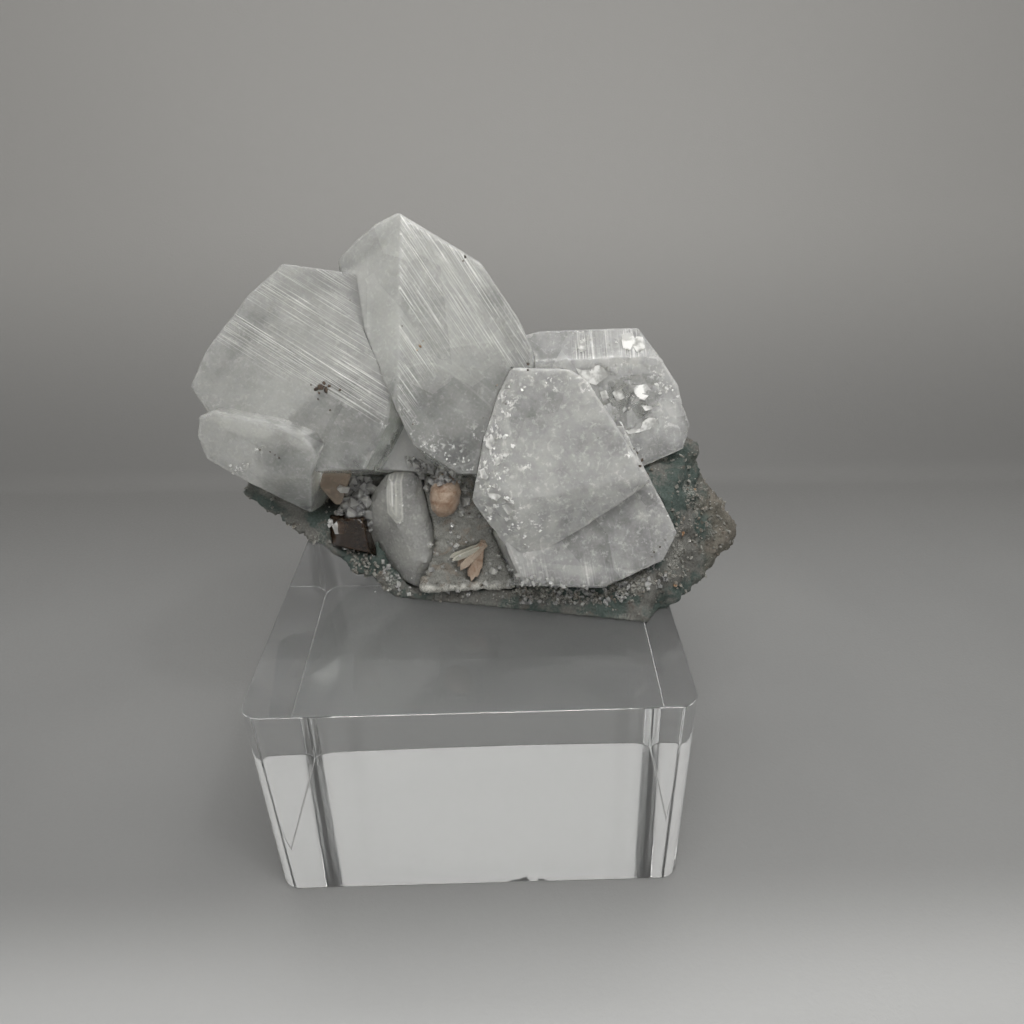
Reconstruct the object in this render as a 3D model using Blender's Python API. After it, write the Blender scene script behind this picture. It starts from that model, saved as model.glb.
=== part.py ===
"""Apophyllite cluster on its rock, resting on a clear display block.

Frame: metres in the scene, +Z up, origin at the centre of the block's
underside, +X to the right and +Y away from the viewer. The tables below are in
millimetres and degrees.

Every crystal is a block of its own, cut by the flat faces that a crystal
grows. A face is given the way crystal drawings give it:
    (phi, rho, distance)
rho is the angle between the face's normal and the long axis (the direction of
the striations), phi is the angle round that axis from the broad front face,
and distance is how far the face lies from the crystal's centre.
"""
import math

import bmesh
import bpy
from mathutils import Vector, noise

MM = 0.001
NAME = "apophyllite_cluster"

# Display block: clear, cast, square-cut, upright edges rounded.
BLOCK_WIDTH = 50.0
BLOCK_DEPTH = 43.0
BLOCK_HEIGHT = 28.8
BLOCK_CORNER_RADIUS = 2.5

GAP = 0.3                                  # clear space round every piece
STONE_BASE = BLOCK_HEIGHT + GAP            # the rock's lowest level
CRYSTAL_BASE = STONE_BASE + 0.9            # no crystal reaches below this

ROCK_GRAIN = 3.2                           # edge length of the rock's facets
ROCK_ROUGHNESS = 0.55                      # how far its surface wanders

# Each crystal: centre, (azimuth, elevation) of the long axis, turn of the
# broad face about that axis, and the faces.
TALL = dict(
    at=(-3.9, 9.3, 59.1), axis=(162, 56), turn=42,
    faces=[
        (0, 90, 6.8),        # striated prism face
        (-40, 64, 8.6),      # smooth pyramid face on its left
        (85, 61, 10.85),     # right slope of the tip
        (88, 90, 9.4),       # right prism face
        (61, 121, 12.3),     # narrow lower right facet
        (157, 20, 13.7),     # left slope of the tip
        (-108, 80, 6.0), (-108, 63, 9.45),
        (33, 21, 16.1),      # blunted tip
        (-88, 73, 8.4), (-86, 112, 12.2), (-80, 143, 15.55),
        (180, 90, 7.7), (-155, 85, 8.1), (110, 106, 11.6),
        (-73, 13, 14.81), (-46, 8, 15.04), (35, 11, 15.54),    # rounded crown
        (70, 64, 11.64), (71, 89, 10.56), (70, 99, 10.99)])

LEFT_UPPER = dict(
    at=(-19.5, 9.8, 55.1), axis=(157, 26), turn=32,
    faces=[
        (0, 90, 7.2),        # striated prism face
        (79, 9, 10.0),       # blunt end
        (92, 68, 12.5), (90, 23, 11.1),
        (-70, 16, 11.9), (-86, 66, 11.6),
        (-86, 89, 9.9), (-88, 124, 11.75),
        (41, 172, 13.85), (73, 157, 13.3),
        (180, 90, 5.8), (-118, 104, 9.35), (136, 56, 11.75),
        (-69, 69, 12.38), (-14, 31, 12.56), (14, 29, 11.75),   # rounded end
        (32, 32, 12.21), (76, 68, 13.62)])

LEFT_LOWER = dict(
    at=(-24.0, 4.1, 49.0), axis=(159, 26), turn=18,
    faces=[
        (0, 90, 5.5),
        (-46, 27, 8.0), (-69, 51, 6.8), (-72, 92, 4.8),
        (-34, 111, 6.2),     # underside facet
        (-73, 79, 5.6), (-88, 108, 6.95),
        (75, 40, 6.85), (74, 72, 5.25), (70, 82, 5.9), (65, 110, 8.3),
        (124, 168, 7.35), (180, 90, 6.45)])

LOW_MIDDLE = dict(
    at=(-7.7, 6.6, 47.1), axis=(134, 47), turn=51,
    faces=[
        (0, 90, 4.55), (-83, 36, 4.15), (-12, 4, 4.65), (88, 89, 3.15),
        (-86, 147, 3.4), (23, 169, 4.85), (180, 90, 4.45)])

LOW_LEFT = dict(
    at=(-9.4, 3.5, 37.7), axis=(77, 75), turn=119,
    faces=[
        (0, 90, 4.7),        # right front face
        (-28, 90, 4.5),      # narrow bright strip
        (-62, 90, 3.7),      # left front face
        (180, 6, 7.35), (82, 77, 4.15),
        (-53, 109, 2.65),    # lower front slope
        (-89, 86, 4.05), (-112, 51, 5.2), (-132, 96, 4.4),
        (-170, 146, 8.65), (69, 107, 5.55), (180, 90, 4.25)])

RIGHT_FRONT = dict(
    at=(8.6, 2.0, 46.8), axis=(113, 66), turn=70,
    faces=[
        (0, 90, 6.6),        # broad front face
        (72, 13, 11.35), (84, 39, 11.35), (88, 67, 9.75),
        (0, 114, 7.4),       # lower front slope
        (-34, 78, 7.9),      # left slope
        (-28, 110, 8.35),    # lower left slope
        (-89, 61, 7.35), (-90, 69, 7.15), (-88, 52, 8.3), (-91, 114, 8.9),
        (101, 157, 8.55), (98, 153, 8.7), (-90, 140, 11.0),
        (180, 90, 7.4), (-154, 158, 11.85)])

RIGHT_LOWER = dict(
    at=(15.7, 0.8, 39.0), axis=(114, 66), turn=70,
    faces=[
        (0, 90, 5.25), (86, 73, 8.0), (85, 127, 8.75),
        (53, 163, 7.6), (-48, 162, 8.25), (-79, 102, 12.15),
        (80, 78, 8.7), (180, 90, 6.75), (122, 13, 11.3),
        (-92, 72, 12.71)])   # ends behind the front crystal

RIGHT_BACK = dict(
    at=(15.8, 13.7, 53.0), axis=(90, 38), turn=93,
    faces=[
        (0, 90, 6.4),        # bright upper face
        (2, 124, 5.85),      # lower front face
        (-5, 28, 5.95), (-34, 32, 7.4), (64, 64, 8.6), (78, 80, 10.3),
        (133, 147, 10.35), (-63, 107, 11.3), (177, 62, 7.65)])

RIGHT_BACK_LOWER = dict(
    at=(22.3, 10.4, 48.5), axis=(100, 65), turn=95,
    faces=[
        (0, 90, 4.5), (86, 75, 4.5), (86, 113, 5.15), (75, 163, 5.3),
        (-60, 85, 5.25), (23, 32, 5.45), (180, 90, 4.5)])

BROWN_UPPER = dict(
    at=(-16.7, 2.8, 44.4), axis=(167, 67), turn=23,
    faces=[
        (0, 90, 2.2), (-86, 88, 1.5), (80, 40, 2.35), (84, 136, 1.6),
        (-8, 119, 2.0), (-71, 103, 1.8), (-87, 144, 2.65), (180, 90, 2.8)])

BROWN_LOWER = dict(
    at=(-16.0, 2.6, 37.6), axis=(66, 60), turn=117,
    faces=[
        (0, 90, 2.15), (-40, 95, 2.05), (-52, 78, 2.35), (-44, 14, 1.95),
        (79, 69, 2.75), (-20, 170, 2.25), (-98, 120, 1.9), (180, 90, 2.85)])

# Rock: lumps cut by planes given as (azimuth, elevation, distance), joined.
ROCK_LEFT = dict(
    at=(-14.0, 10.0, 41.0),
    faces=[
        (172, -50, 5.6),     # overhanging underside
        (-135, -65, 12.2),
        (-73, 24, 5.3),      # front, below the left crystals
        (-174, 21, 14.7), (101, 6, 7.6), (-90, 76, 9.7), (36, 12, 21.0),
        (141, -12, 8.8), (140, 42, 11.3)])

ROCK_MIDDLE = dict(
    at=(8.5, 10.0, 38.0),
    faces=[
        (-102, 29, 8.2),     # front, above the block
        (176, -29, 20.1), (-35, 10, 18.7), (87, 9, 9.2), (-82, 71, 8.5),
        (-90, 47, 8.5), (43, 11, 15.6), (82, -43, 8.9), (135, 6, 17.4)])

ROCK_RIGHT = dict(
    at=(23.0, 8.0, 37.0),
    faces=[
        (-42, 21, 7.2),      # face beside the right crystals
        (-24, 56, 6.5), (15, 12, 12.4), (76, 6, 9.8), (180, 0, 15.0),
        (-36, -40, 11.4), (66, 52, 9.6), (-107, 5, 11.1),
        (20, 50, 7.9), (4, 34, 8.0)])    # slope down to the right end

# Crust of small crystals along the front, under the two stilbites.
CRUST = dict(
    at=(0.5, 3.0, 39.0),
    faces=[
        (-90, 21, 2.6), (-76, -83, 7.9), (-163, 5, 7.5), (6, 0, 8.4),
        (90, -11, 2.8), (-117, 77, 7.4), (-29, 52, 5.0)])

# Stilbite: a rounded ball and a sheaf of three flat blades.
BALL_AT = (-2.9, 0.4, 43.6)
BALL_HALF = (1.75, 1.6, 2.7)
BALL_LEAN = 10
SHEAF_AT = (1.35, -1.1, 36.9)    # the blades fan out downward from here
SHEAF_BLADES = [(128, 4.1, 1.3), (158, 4.5, 1.6), (104, 4.4, 1.0)]
SHEAF_THICKNESS = 1.5
SHEAF_LEAN = 14                  # toward the viewer at their ends


def collection(name):
    col = bpy.data.collections.get(name) or bpy.data.collections.new(name)
    if col.name not in bpy.context.scene.collection.children:
        bpy.context.scene.collection.children.link(col)
    return col


for old in list(bpy.data.objects):
    bpy.data.objects.remove(old, do_unlink=True)
PARTS = collection(NAME)
CUTTERS = collection("cutters")


def material(name, rgb, rough, transmission=0.0, ior=1.5):
    mat = bpy.data.materials.new(name)
    mat.use_nodes = True
    mat.diffuse_color = (*rgb, 1.0)
    bsdf = mat.node_tree.nodes["Principled BSDF"]
    bsdf.inputs["Base Color"].default_value = (*rgb, 1.0)
    bsdf.inputs["Roughness"].default_value = rough
    bsdf.inputs["Metallic"].default_value = 0.0
    bsdf.inputs["Transmission Weight"].default_value = transmission
    bsdf.inputs["IOR"].default_value = ior
    return mat


CLEAR_BLOCK = material("clear_acrylic", (0.93, 0.95, 0.96), 0.03, 1.0, 1.49)
APOPHYLLITE = material("apophyllite", (0.80, 0.82, 0.81), 0.12, 0.7, 1.535)
BROWN = material("brown_apophyllite", (0.30, 0.19, 0.12), 0.12, 0.5, 1.535)
ROCK = material("basalt", (0.20, 0.23, 0.21), 0.75)
DRUSE = material("druse", (0.52, 0.52, 0.48), 0.35, 0.3, 1.535)
STILBITE = material("stilbite", (0.72, 0.52, 0.40), 0.45)


def new_object(name, bm, mat=None, cutter=False):
    mesh = bpy.data.meshes.new(name)
    bm.to_mesh(mesh)
    bm.free()
    obj = bpy.data.objects.new(name, mesh)
    (CUTTERS if cutter else PARTS).objects.link(obj)
    if mat:
        mesh.materials.append(mat)
    if cutter:
        obj.hide_render = True
        obj.display_type = "WIRE"
    return obj


def direction(azimuth, elevation):
    a, e = math.radians(azimuth), math.radians(elevation)
    return Vector((math.cos(e) * math.cos(a), math.cos(e) * math.sin(a), math.sin(e)))


def crystal_normals(spec):
    """World normals and distances of a crystal's faces."""
    axis = direction(*spec["axis"])
    a = math.radians(spec["axis"][0])
    level = Vector((-math.sin(a), math.cos(a), 0.0))
    steep = axis.cross(level)
    t = math.radians(spec["turn"])
    front = math.cos(t) * level + math.sin(t) * steep
    side = axis.cross(front)
    out = []
    for phi, rho, dist in spec["faces"]:
        p, r = math.radians(phi), math.radians(rho)
        n = math.sin(r) * (math.cos(p) * front + math.sin(p) * side) + math.cos(r) * axis
        out.append((n, dist))
    return out


def rock_normals(spec):
    return [(direction(az, el), dist) for az, el, dist in spec["faces"]]


def cut_block(spec, normals, grow=0.0, base=None):
    """A cube about the centre, cut down to the faces."""
    at = Vector(spec["at"])
    bm = bmesh.new()
    bmesh.ops.create_cube(bm, size=90.0)
    bmesh.ops.translate(bm, verts=bm.verts, vec=at)
    planes = [(at + n * (dist + grow), n) for n, dist in normals]
    if base is not None:
        planes.append((Vector((0.0, 0.0, base - grow)), Vector((0.0, 0.0, -1.0))))
    for point, n in planes:
        geom = bm.verts[:] + bm.edges[:] + bm.faces[:]
        cut = bmesh.ops.bisect_plane(bm, geom=geom, dist=1e-5, plane_co=point,
                                     plane_no=n, clear_outer=True)
        rim = [g for g in cut["geom_cut"] if isinstance(g, bmesh.types.BMEdge)]
        if rim:
            bmesh.ops.contextual_create(bm, geom=rim)
    bmesh.ops.remove_doubles(bm, verts=bm.verts, dist=1e-3)
    bmesh.ops.recalc_face_normals(bm, faces=bm.faces)
    bmesh.ops.scale(bm, vec=Vector((MM, MM, MM)), verts=bm.verts)
    return bm


def crystal(name, spec, mat, base=CRYSTAL_BASE):
    return new_object(name, cut_block(spec, crystal_normals(spec), 0.0, base), mat)


SOCKETS = {}


def socket(name, spec, base=CRYSTAL_BASE):
    """The crystal's shape grown by the gap, to cut its seat in a neighbour."""
    obj = new_object("socket_" + name,
                     cut_block(spec, crystal_normals(spec), GAP, base), cutter=True)
    SOCKETS[name] = obj
    return obj


def boolean(obj, other, operation):
    mod = obj.modifiers.new(operation.lower() + "_" + other.name, "BOOLEAN")
    mod.operation = operation
    mod.solver = "EXACT"
    mod.object = other


def islands(bm):
    left, groups = set(bm.verts), []
    while left:
        seed = left.pop()
        group, stack = [seed], [seed]
        while stack:
            for edge in stack.pop().link_edges:
                for v in edge.verts:
                    if v in left:
                        left.discard(v)
                        group.append(v)
                        stack.append(v)
        groups.append(group)
    return groups


def settle(obj):
    """Apply the cuts and drop the loose chips that they leave."""
    graph = bpy.context.evaluated_depsgraph_get()
    mesh = bpy.data.meshes.new_from_object(obj.evaluated_get(graph))
    obj.modifiers.clear()
    bm = bmesh.new()
    bm.from_mesh(mesh)
    bmesh.ops.remove_doubles(bm, verts=bm.verts, dist=0.000002)
    groups = sorted(islands(bm), key=len, reverse=True)
    for chip in groups[1:]:
        bmesh.ops.delete(bm, geom=chip, context="VERTS")
    bm.to_mesh(mesh)
    bm.free()
    obj.data = mesh
    return obj


# --- the block ---------------------------------------------------------------
bm = bmesh.new()
bmesh.ops.create_cube(bm, size=1.0)
bmesh.ops.scale(bm, verts=bm.verts,
                vec=Vector((BLOCK_WIDTH, BLOCK_DEPTH, BLOCK_HEIGHT)) * MM)
bmesh.ops.translate(bm, verts=bm.verts, vec=Vector((0, 0, BLOCK_HEIGHT / 2 * MM)))
upright = [e for e in bm.edges
           if abs(e.verts[0].co.z - e.verts[1].co.z) > 0.5 * BLOCK_HEIGHT * MM]
bmesh.ops.bevel(bm, geom=upright, offset=BLOCK_CORNER_RADIUS * MM, segments=8,
                profile=0.5, affect="EDGES")
new_object("display_block", bm, CLEAR_BLOCK)

# --- crystals ----------------------------------------------------------------
right_front = crystal("crystal_front_right", RIGHT_FRONT, APOPHYLLITE)
lower = new_object("lower_of_pair",
                   cut_block(RIGHT_LOWER, crystal_normals(RIGHT_LOWER), 0.0,
                             CRYSTAL_BASE), cutter=True)
boolean(right_front, lower, "UNION")
settle(right_front)

socket("right_front", RIGHT_FRONT)
socket("right_lower", RIGHT_LOWER)
socket("tall", TALL)
socket("left_upper", LEFT_UPPER)
socket("left_lower", LEFT_LOWER)
socket("low_middle", LOW_MIDDLE)
socket("low_left", LOW_LEFT)
socket("right_back", RIGHT_BACK)
socket("right_back_lower", RIGHT_BACK_LOWER)
socket("brown_upper", BROWN_UPPER)
socket("brown_lower", BROWN_LOWER)

tall = crystal("crystal_tall", TALL, APOPHYLLITE)
boolean(tall, SOCKETS["right_front"], "DIFFERENCE")
boolean(tall, SOCKETS["right_lower"], "DIFFERENCE")
settle(tall)

left = crystal("crystal_left_pair", LEFT_UPPER, APOPHYLLITE)
lower = new_object("lower_of_left_pair",
                   cut_block(LEFT_LOWER, crystal_normals(LEFT_LOWER)), cutter=True)
boolean(left, lower, "UNION")
boolean(left, SOCKETS["tall"], "DIFFERENCE")
settle(left)

middle = crystal("crystal_low_middle", LOW_MIDDLE, APOPHYLLITE)
for key in ("left_upper", "left_lower", "tall"):
    boolean(middle, SOCKETS[key], "DIFFERENCE")
settle(middle)

low_left = crystal("crystal_low_left", LOW_LEFT, APOPHYLLITE)
for key in ("low_middle", "left_upper", "tall"):
    boolean(low_left, SOCKETS[key], "DIFFERENCE")
settle(low_left)

right_back = crystal("crystal_back_right", RIGHT_BACK, APOPHYLLITE)
lower = new_object("lower_of_back_pair",
                   cut_block(RIGHT_BACK_LOWER, crystal_normals(RIGHT_BACK_LOWER)),
                   cutter=True)
boolean(right_back, lower, "UNION")
for key in ("tall", "right_front", "right_lower"):
    boolean(right_back, SOCKETS[key], "DIFFERENCE")
settle(right_back)

brown_upper = crystal("brown_crystal_upper", BROWN_UPPER, BROWN)
for key in ("left_upper", "left_lower", "low_left", "low_middle"):
    boolean(brown_upper, SOCKETS[key], "DIFFERENCE")
settle(brown_upper)

brown_lower = crystal("brown_crystal_lower", BROWN_LOWER, BROWN)
for key in ("left_upper", "left_lower", "low_left", "brown_upper"):
    boolean(brown_lower, SOCKETS[key], "DIFFERENCE")
settle(brown_lower)


# --- stilbites ---------------------------------------------------------------
def ball(name, grow=0.0, mat=None, cutter=False):
    bm = bmesh.new()
    bmesh.ops.create_uvsphere(bm, u_segments=20, v_segments=12, radius=1.0)
    half = Vector([h + grow for h in BALL_HALF])
    bmesh.ops.scale(bm, verts=bm.verts, vec=half * MM)
    obj = new_object(name, bm, mat, cutter)
    obj.location = Vector(BALL_AT) * MM
    obj.rotation_euler = (math.radians(-20), math.radians(BALL_LEAN), 0)
    return obj


def blade(name, angle, length, width, grow=0.0, mat=None, cutter=False):
    """A flat blade, narrow at its foot and wide at its end, fanned by angle."""
    bm = bmesh.new()
    bmesh.ops.create_cone(bm, cap_ends=True, segments=10, radius1=0.45 + grow,
                          radius2=width / 2 + grow, depth=length + 2 * grow)
    bmesh.ops.scale(bm, verts=bm.verts, vec=Vector((1.0, SHEAF_THICKNESS / width, 1.0)))
    bmesh.ops.translate(bm, verts=bm.verts, vec=Vector((0, 0, length / 2)))
    bmesh.ops.scale(bm, verts=bm.verts, vec=Vector((MM, MM, MM)))
    obj = new_object(name, bm, mat, cutter)
    obj.location = Vector(SHEAF_AT) * MM
    obj.rotation_euler = (math.radians(SHEAF_LEAN), math.radians(-angle), 0)
    return obj


stilbite_ball = ball("stilbite_ball", mat=STILBITE)
SOCKETS["ball"] = ball("socket_ball", GAP, cutter=True)
for key in ("right_front", "right_lower", "low_left", "tall", "low_middle"):
    boolean(stilbite_ball, SOCKETS[key], "DIFFERENCE")

blades = [blade("blade_%d" % i, *b, cutter=i > 0) for i, b in enumerate(SHEAF_BLADES)]
sheaf = blades[0]
sheaf.name = "stilbite_sheaf"
sheaf.data.materials.append(STILBITE)
for other in blades[1:]:
    boolean(sheaf, other, "UNION")
for key in ("right_front", "right_lower", "low_left", "ball"):
    boolean(sheaf, SOCKETS[key], "DIFFERENCE")
sheaf_sockets = [blade("socket_blade_%d" % i, *b, grow=GAP, cutter=True)
                 for i, b in enumerate(SHEAF_BLADES)]

# --- rock and crust ----------------------------------------------------------
def roughen(obj, grain, depth, floor):
    bm = bmesh.new()
    bm.from_mesh(obj.data)
    bmesh.ops.triangulate(bm, faces=bm.faces)
    for _ in range(5):
        long_edges = [e for e in bm.edges if e.calc_length() > grain * MM]
        if not long_edges:
            break
        bmesh.ops.subdivide_edges(bm, edges=long_edges, cuts=1)
        bmesh.ops.triangulate(bm, faces=bm.faces)
    bm.normal_update()
    for v in bm.verts:
        p = v.co / MM
        push = noise.noise(p * 0.22) + 0.5 * noise.noise(p * 0.55 + Vector((9, 4, 2)))
        fade = min(1.0, max(0.0, (p.z - floor) / 2.5))     # the base stays flat
        v.co += v.normal * push * depth * fade * MM
    bmesh.ops.remove_doubles(bm, verts=bm.verts, dist=0.0001)
    bm.to_mesh(obj.data)
    bm.free()


bm = bmesh.new()
bmesh.ops.create_cube(bm, size=0.1)
bmesh.ops.translate(bm, verts=bm.verts, vec=Vector((0, 0, STONE_BASE * MM - 0.05)))
below = new_object("below_the_stone", bm, cutter=True)
rock = new_object("basalt_matrix", cut_block(ROCK_MIDDLE, rock_normals(ROCK_MIDDLE),
                                             0.0, STONE_BASE - 2.0), ROCK)
for label, spec, depth in (("left", ROCK_LEFT, 3.0), ("right", ROCK_RIGHT, 4.0)):
    lump = new_object("rock_" + label,
                      cut_block(spec, rock_normals(spec), 0.0, STONE_BASE - depth),
                      cutter=True)
    boolean(rock, lump, "UNION")
boolean(rock, below, "DIFFERENCE")
settle(rock)
roughen(rock, ROCK_GRAIN, ROCK_ROUGHNESS, STONE_BASE)

crust = new_object("druse_crust", cut_block(CRUST, rock_normals(CRUST), 0.0, STONE_BASE),
                   DRUSE)
roughen(crust, 2.4, 0.35, STONE_BASE)
crust_socket = new_object("socket_crust",
                          cut_block(CRUST, rock_normals(CRUST), GAP + 0.35, STONE_BASE),
                          cutter=True)
for key in ("right_front", "right_lower", "tall", "left_upper", "low_middle",
            "low_left", "right_back", "ball"):
    boolean(crust, SOCKETS[key], "DIFFERENCE")
for other in sheaf_sockets:
    boolean(crust, other, "DIFFERENCE")
settle(crust)

for other in list(SOCKETS.values()) + sheaf_sockets + [crust_socket]:
    boolean(rock, other, "DIFFERENCE")
settle(rock)

for obj in PARTS.objects:
    for poly in obj.data.polygons:
        poly.use_smooth = False
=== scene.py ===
import math
import random

import bmesh
import bpy
from mathutils import Matrix, Quaternion, Vector, noise
from mathutils.bvhtree import BVHTree


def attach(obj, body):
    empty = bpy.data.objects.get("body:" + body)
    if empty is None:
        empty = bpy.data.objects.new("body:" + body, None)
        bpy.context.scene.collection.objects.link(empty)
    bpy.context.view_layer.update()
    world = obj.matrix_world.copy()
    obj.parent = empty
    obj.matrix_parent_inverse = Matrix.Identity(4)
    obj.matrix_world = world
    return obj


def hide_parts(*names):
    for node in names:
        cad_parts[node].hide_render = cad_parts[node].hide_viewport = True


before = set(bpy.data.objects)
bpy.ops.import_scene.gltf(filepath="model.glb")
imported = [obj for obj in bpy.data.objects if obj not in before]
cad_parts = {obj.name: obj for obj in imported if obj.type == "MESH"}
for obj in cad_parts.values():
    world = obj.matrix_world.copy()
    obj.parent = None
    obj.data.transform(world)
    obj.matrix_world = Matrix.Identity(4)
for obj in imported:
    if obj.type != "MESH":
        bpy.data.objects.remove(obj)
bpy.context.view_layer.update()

MM = 0.001
scene = bpy.context.scene

# ---------------------------------------------------------------------------
# The same design tables as the CAD, in millimetres and degrees.
# A crystal face is (phi, rho, distance): rho from the long axis, phi round it
# from the broad front face, distance from the crystal's centre.
# ---------------------------------------------------------------------------
TALL = dict(at=(-3.9, 9.3, 59.1), axis=(162, 56), turn=42, faces=[
    (0, 90, 6.8), (-40, 64, 8.6), (85, 61, 10.85), (88, 90, 9.4), (61, 121, 12.3),
    (157, 20, 13.7), (-108, 80, 6.0), (-108, 63, 9.45), (33, 21, 16.1),
    (-88, 73, 8.4), (-86, 112, 12.2), (-80, 143, 15.55), (180, 90, 7.7),
    (-155, 85, 8.1), (110, 106, 11.6), (-73, 13, 14.81), (-46, 8, 15.04),
    (35, 11, 15.54), (70, 64, 11.64), (71, 89, 10.56), (70, 99, 10.99)])
LEFT_UPPER = dict(at=(-19.5, 9.8, 55.1), axis=(157, 26), turn=32, faces=[
    (0, 90, 7.2), (79, 9, 10.0), (92, 68, 12.5), (90, 23, 11.1), (-70, 16, 11.9),
    (-86, 66, 11.6), (-86, 89, 9.9), (-88, 124, 11.75), (41, 172, 13.85),
    (73, 157, 13.3), (180, 90, 5.8), (-118, 104, 9.35), (136, 56, 11.75),
    (-69, 69, 12.38), (-14, 31, 12.56), (14, 29, 11.75), (32, 32, 12.21),
    (76, 68, 13.62)])
LEFT_LOWER = dict(at=(-24.0, 4.1, 49.0), axis=(159, 26), turn=18, faces=[
    (0, 90, 5.5), (-46, 27, 8.0), (-69, 51, 6.8), (-72, 92, 4.8), (-34, 111, 6.2),
    (-73, 79, 5.6), (-88, 108, 6.95), (75, 40, 6.85), (74, 72, 5.25),
    (70, 82, 5.9), (65, 110, 8.3), (124, 168, 7.35), (180, 90, 6.45)])
LOW_MIDDLE = dict(at=(-7.7, 6.6, 47.1), axis=(134, 47), turn=51, faces=[
    (0, 90, 4.55), (-83, 36, 4.15), (-12, 4, 4.65), (88, 89, 3.15),
    (-86, 147, 3.4), (23, 169, 4.85), (180, 90, 4.45)])
LOW_LEFT = dict(at=(-9.4, 3.5, 37.7), axis=(77, 75), turn=119, faces=[
    (0, 90, 4.7), (-28, 90, 4.5), (-62, 90, 3.7), (180, 6, 7.35), (82, 77, 4.15),
    (-53, 109, 2.65), (-89, 86, 4.05), (-112, 51, 5.2), (-132, 96, 4.4),
    (-170, 146, 8.65), (69, 107, 5.55), (180, 90, 4.25)])
RIGHT_FRONT = dict(at=(8.6, 2.0, 46.8), axis=(113, 66), turn=70, faces=[
    (0, 90, 6.6), (72, 13, 11.35), (84, 39, 11.35), (88, 67, 9.75), (0, 114, 7.4),
    (-34, 78, 7.9), (-28, 110, 8.35), (-89, 61, 7.35), (-90, 69, 7.15),
    (-88, 52, 8.3), (-91, 114, 8.9), (101, 157, 8.55), (98, 153, 8.7),
    (-90, 140, 11.0), (180, 90, 7.4), (-154, 158, 11.85)])
RIGHT_LOWER = dict(at=(15.7, 0.8, 39.0), axis=(114, 66), turn=70, faces=[
    (0, 90, 5.25), (86, 73, 8.0), (85, 127, 8.75), (53, 163, 7.6), (-48, 162, 8.25),
    (-79, 102, 12.15), (80, 78, 8.7), (180, 90, 6.75), (122, 13, 11.3),
    (-92, 72, 12.71)])
RIGHT_BACK = dict(at=(15.8, 13.7, 53.0), axis=(90, 38), turn=93, faces=[
    (0, 90, 6.4), (2, 124, 5.85), (-5, 28, 5.95), (-34, 32, 7.4), (64, 64, 8.6),
    (78, 80, 10.3), (133, 147, 10.35), (-63, 107, 11.3), (177, 62, 7.65)])
RIGHT_BACK_LOWER = dict(at=(22.3, 10.4, 48.5), axis=(100, 65), turn=95, faces=[
    (0, 90, 4.5), (86, 75, 4.5), (86, 113, 5.15), (75, 163, 5.3), (-60, 85, 5.25),
    (23, 32, 5.45), (180, 90, 4.5)])
BROWN_UPPER = dict(at=(-16.7, 2.8, 44.4), axis=(167, 67), turn=23, faces=[
    (0, 90, 2.2), (-86, 88, 1.5), (80, 40, 2.35), (84, 136, 1.6), (-8, 119, 2.0),
    (-71, 103, 1.8), (-87, 144, 2.65), (180, 90, 2.8)])
BROWN_LOWER = dict(at=(-16.0, 2.6, 37.6), axis=(66, 60), turn=117, faces=[
    (0, 90, 2.15), (-40, 95, 2.05), (-52, 78, 2.35), (-44, 14, 1.95),
    (79, 69, 2.75), (-20, 170, 2.25), (-98, 120, 1.9), (180, 90, 2.85)])

BLOCK = (50.0, 43.0, 28.8)
BLOCK_CORNER = 2.5
SEAM = 0.04                     # crystals grown together almost touch
CRYSTAL_BASE = 30.0


def link(obj):
    scene.collection.objects.link(obj)
    return obj


def direction(azimuth, elevation):
    a, e = math.radians(azimuth), math.radians(elevation)
    return Vector((math.cos(e) * math.cos(a), math.cos(e) * math.sin(a), math.sin(e)))


def crystal_frame(spec):
    """front, side and long axis of a crystal."""
    axis = direction(*spec["axis"])
    a = math.radians(spec["axis"][0])
    level = Vector((-math.sin(a), math.cos(a), 0.0))
    steep = axis.cross(level)
    t = math.radians(spec["turn"])
    front = math.cos(t) * level + math.sin(t) * steep
    return front, axis.cross(front), axis


def crystal_planes(spec):
    front, side, axis = crystal_frame(spec)
    at = Vector(spec["at"])
    out = []
    for phi, rho, dist in spec["faces"]:
        p, r = math.radians(phi), math.radians(rho)
        n = math.sin(r) * (math.cos(p) * front + math.sin(p) * side) + math.cos(r) * axis
        out.append((n.normalized(), n.dot(at) + dist))
    return out


# ---------------------------------------------------------------------------
# Solid making, in millimetres
# ---------------------------------------------------------------------------
def convex(planes, at, base=None):
    bm = bmesh.new()
    bmesh.ops.create_cube(bm, size=90.0)
    bmesh.ops.translate(bm, verts=bm.verts, vec=at)
    todo = [(n * d, n) for n, d in planes]
    if base is not None:
        todo.append((Vector((0, 0, base)), Vector((0, 0, -1))))
    for point, n in todo:
        geom = bm.verts[:] + bm.edges[:] + bm.faces[:]
        cut = bmesh.ops.bisect_plane(bm, geom=geom, dist=1e-5, plane_co=point,
                                     plane_no=n, clear_outer=True)
        rim = [g for g in cut["geom_cut"] if isinstance(g, bmesh.types.BMEdge)]
        if rim:
            bmesh.ops.contextual_create(bm, geom=rim)
    bmesh.ops.remove_doubles(bm, verts=bm.verts, dist=2e-3)
    bmesh.ops.recalc_face_normals(bm, faces=bm.faces)
    return bm


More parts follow.
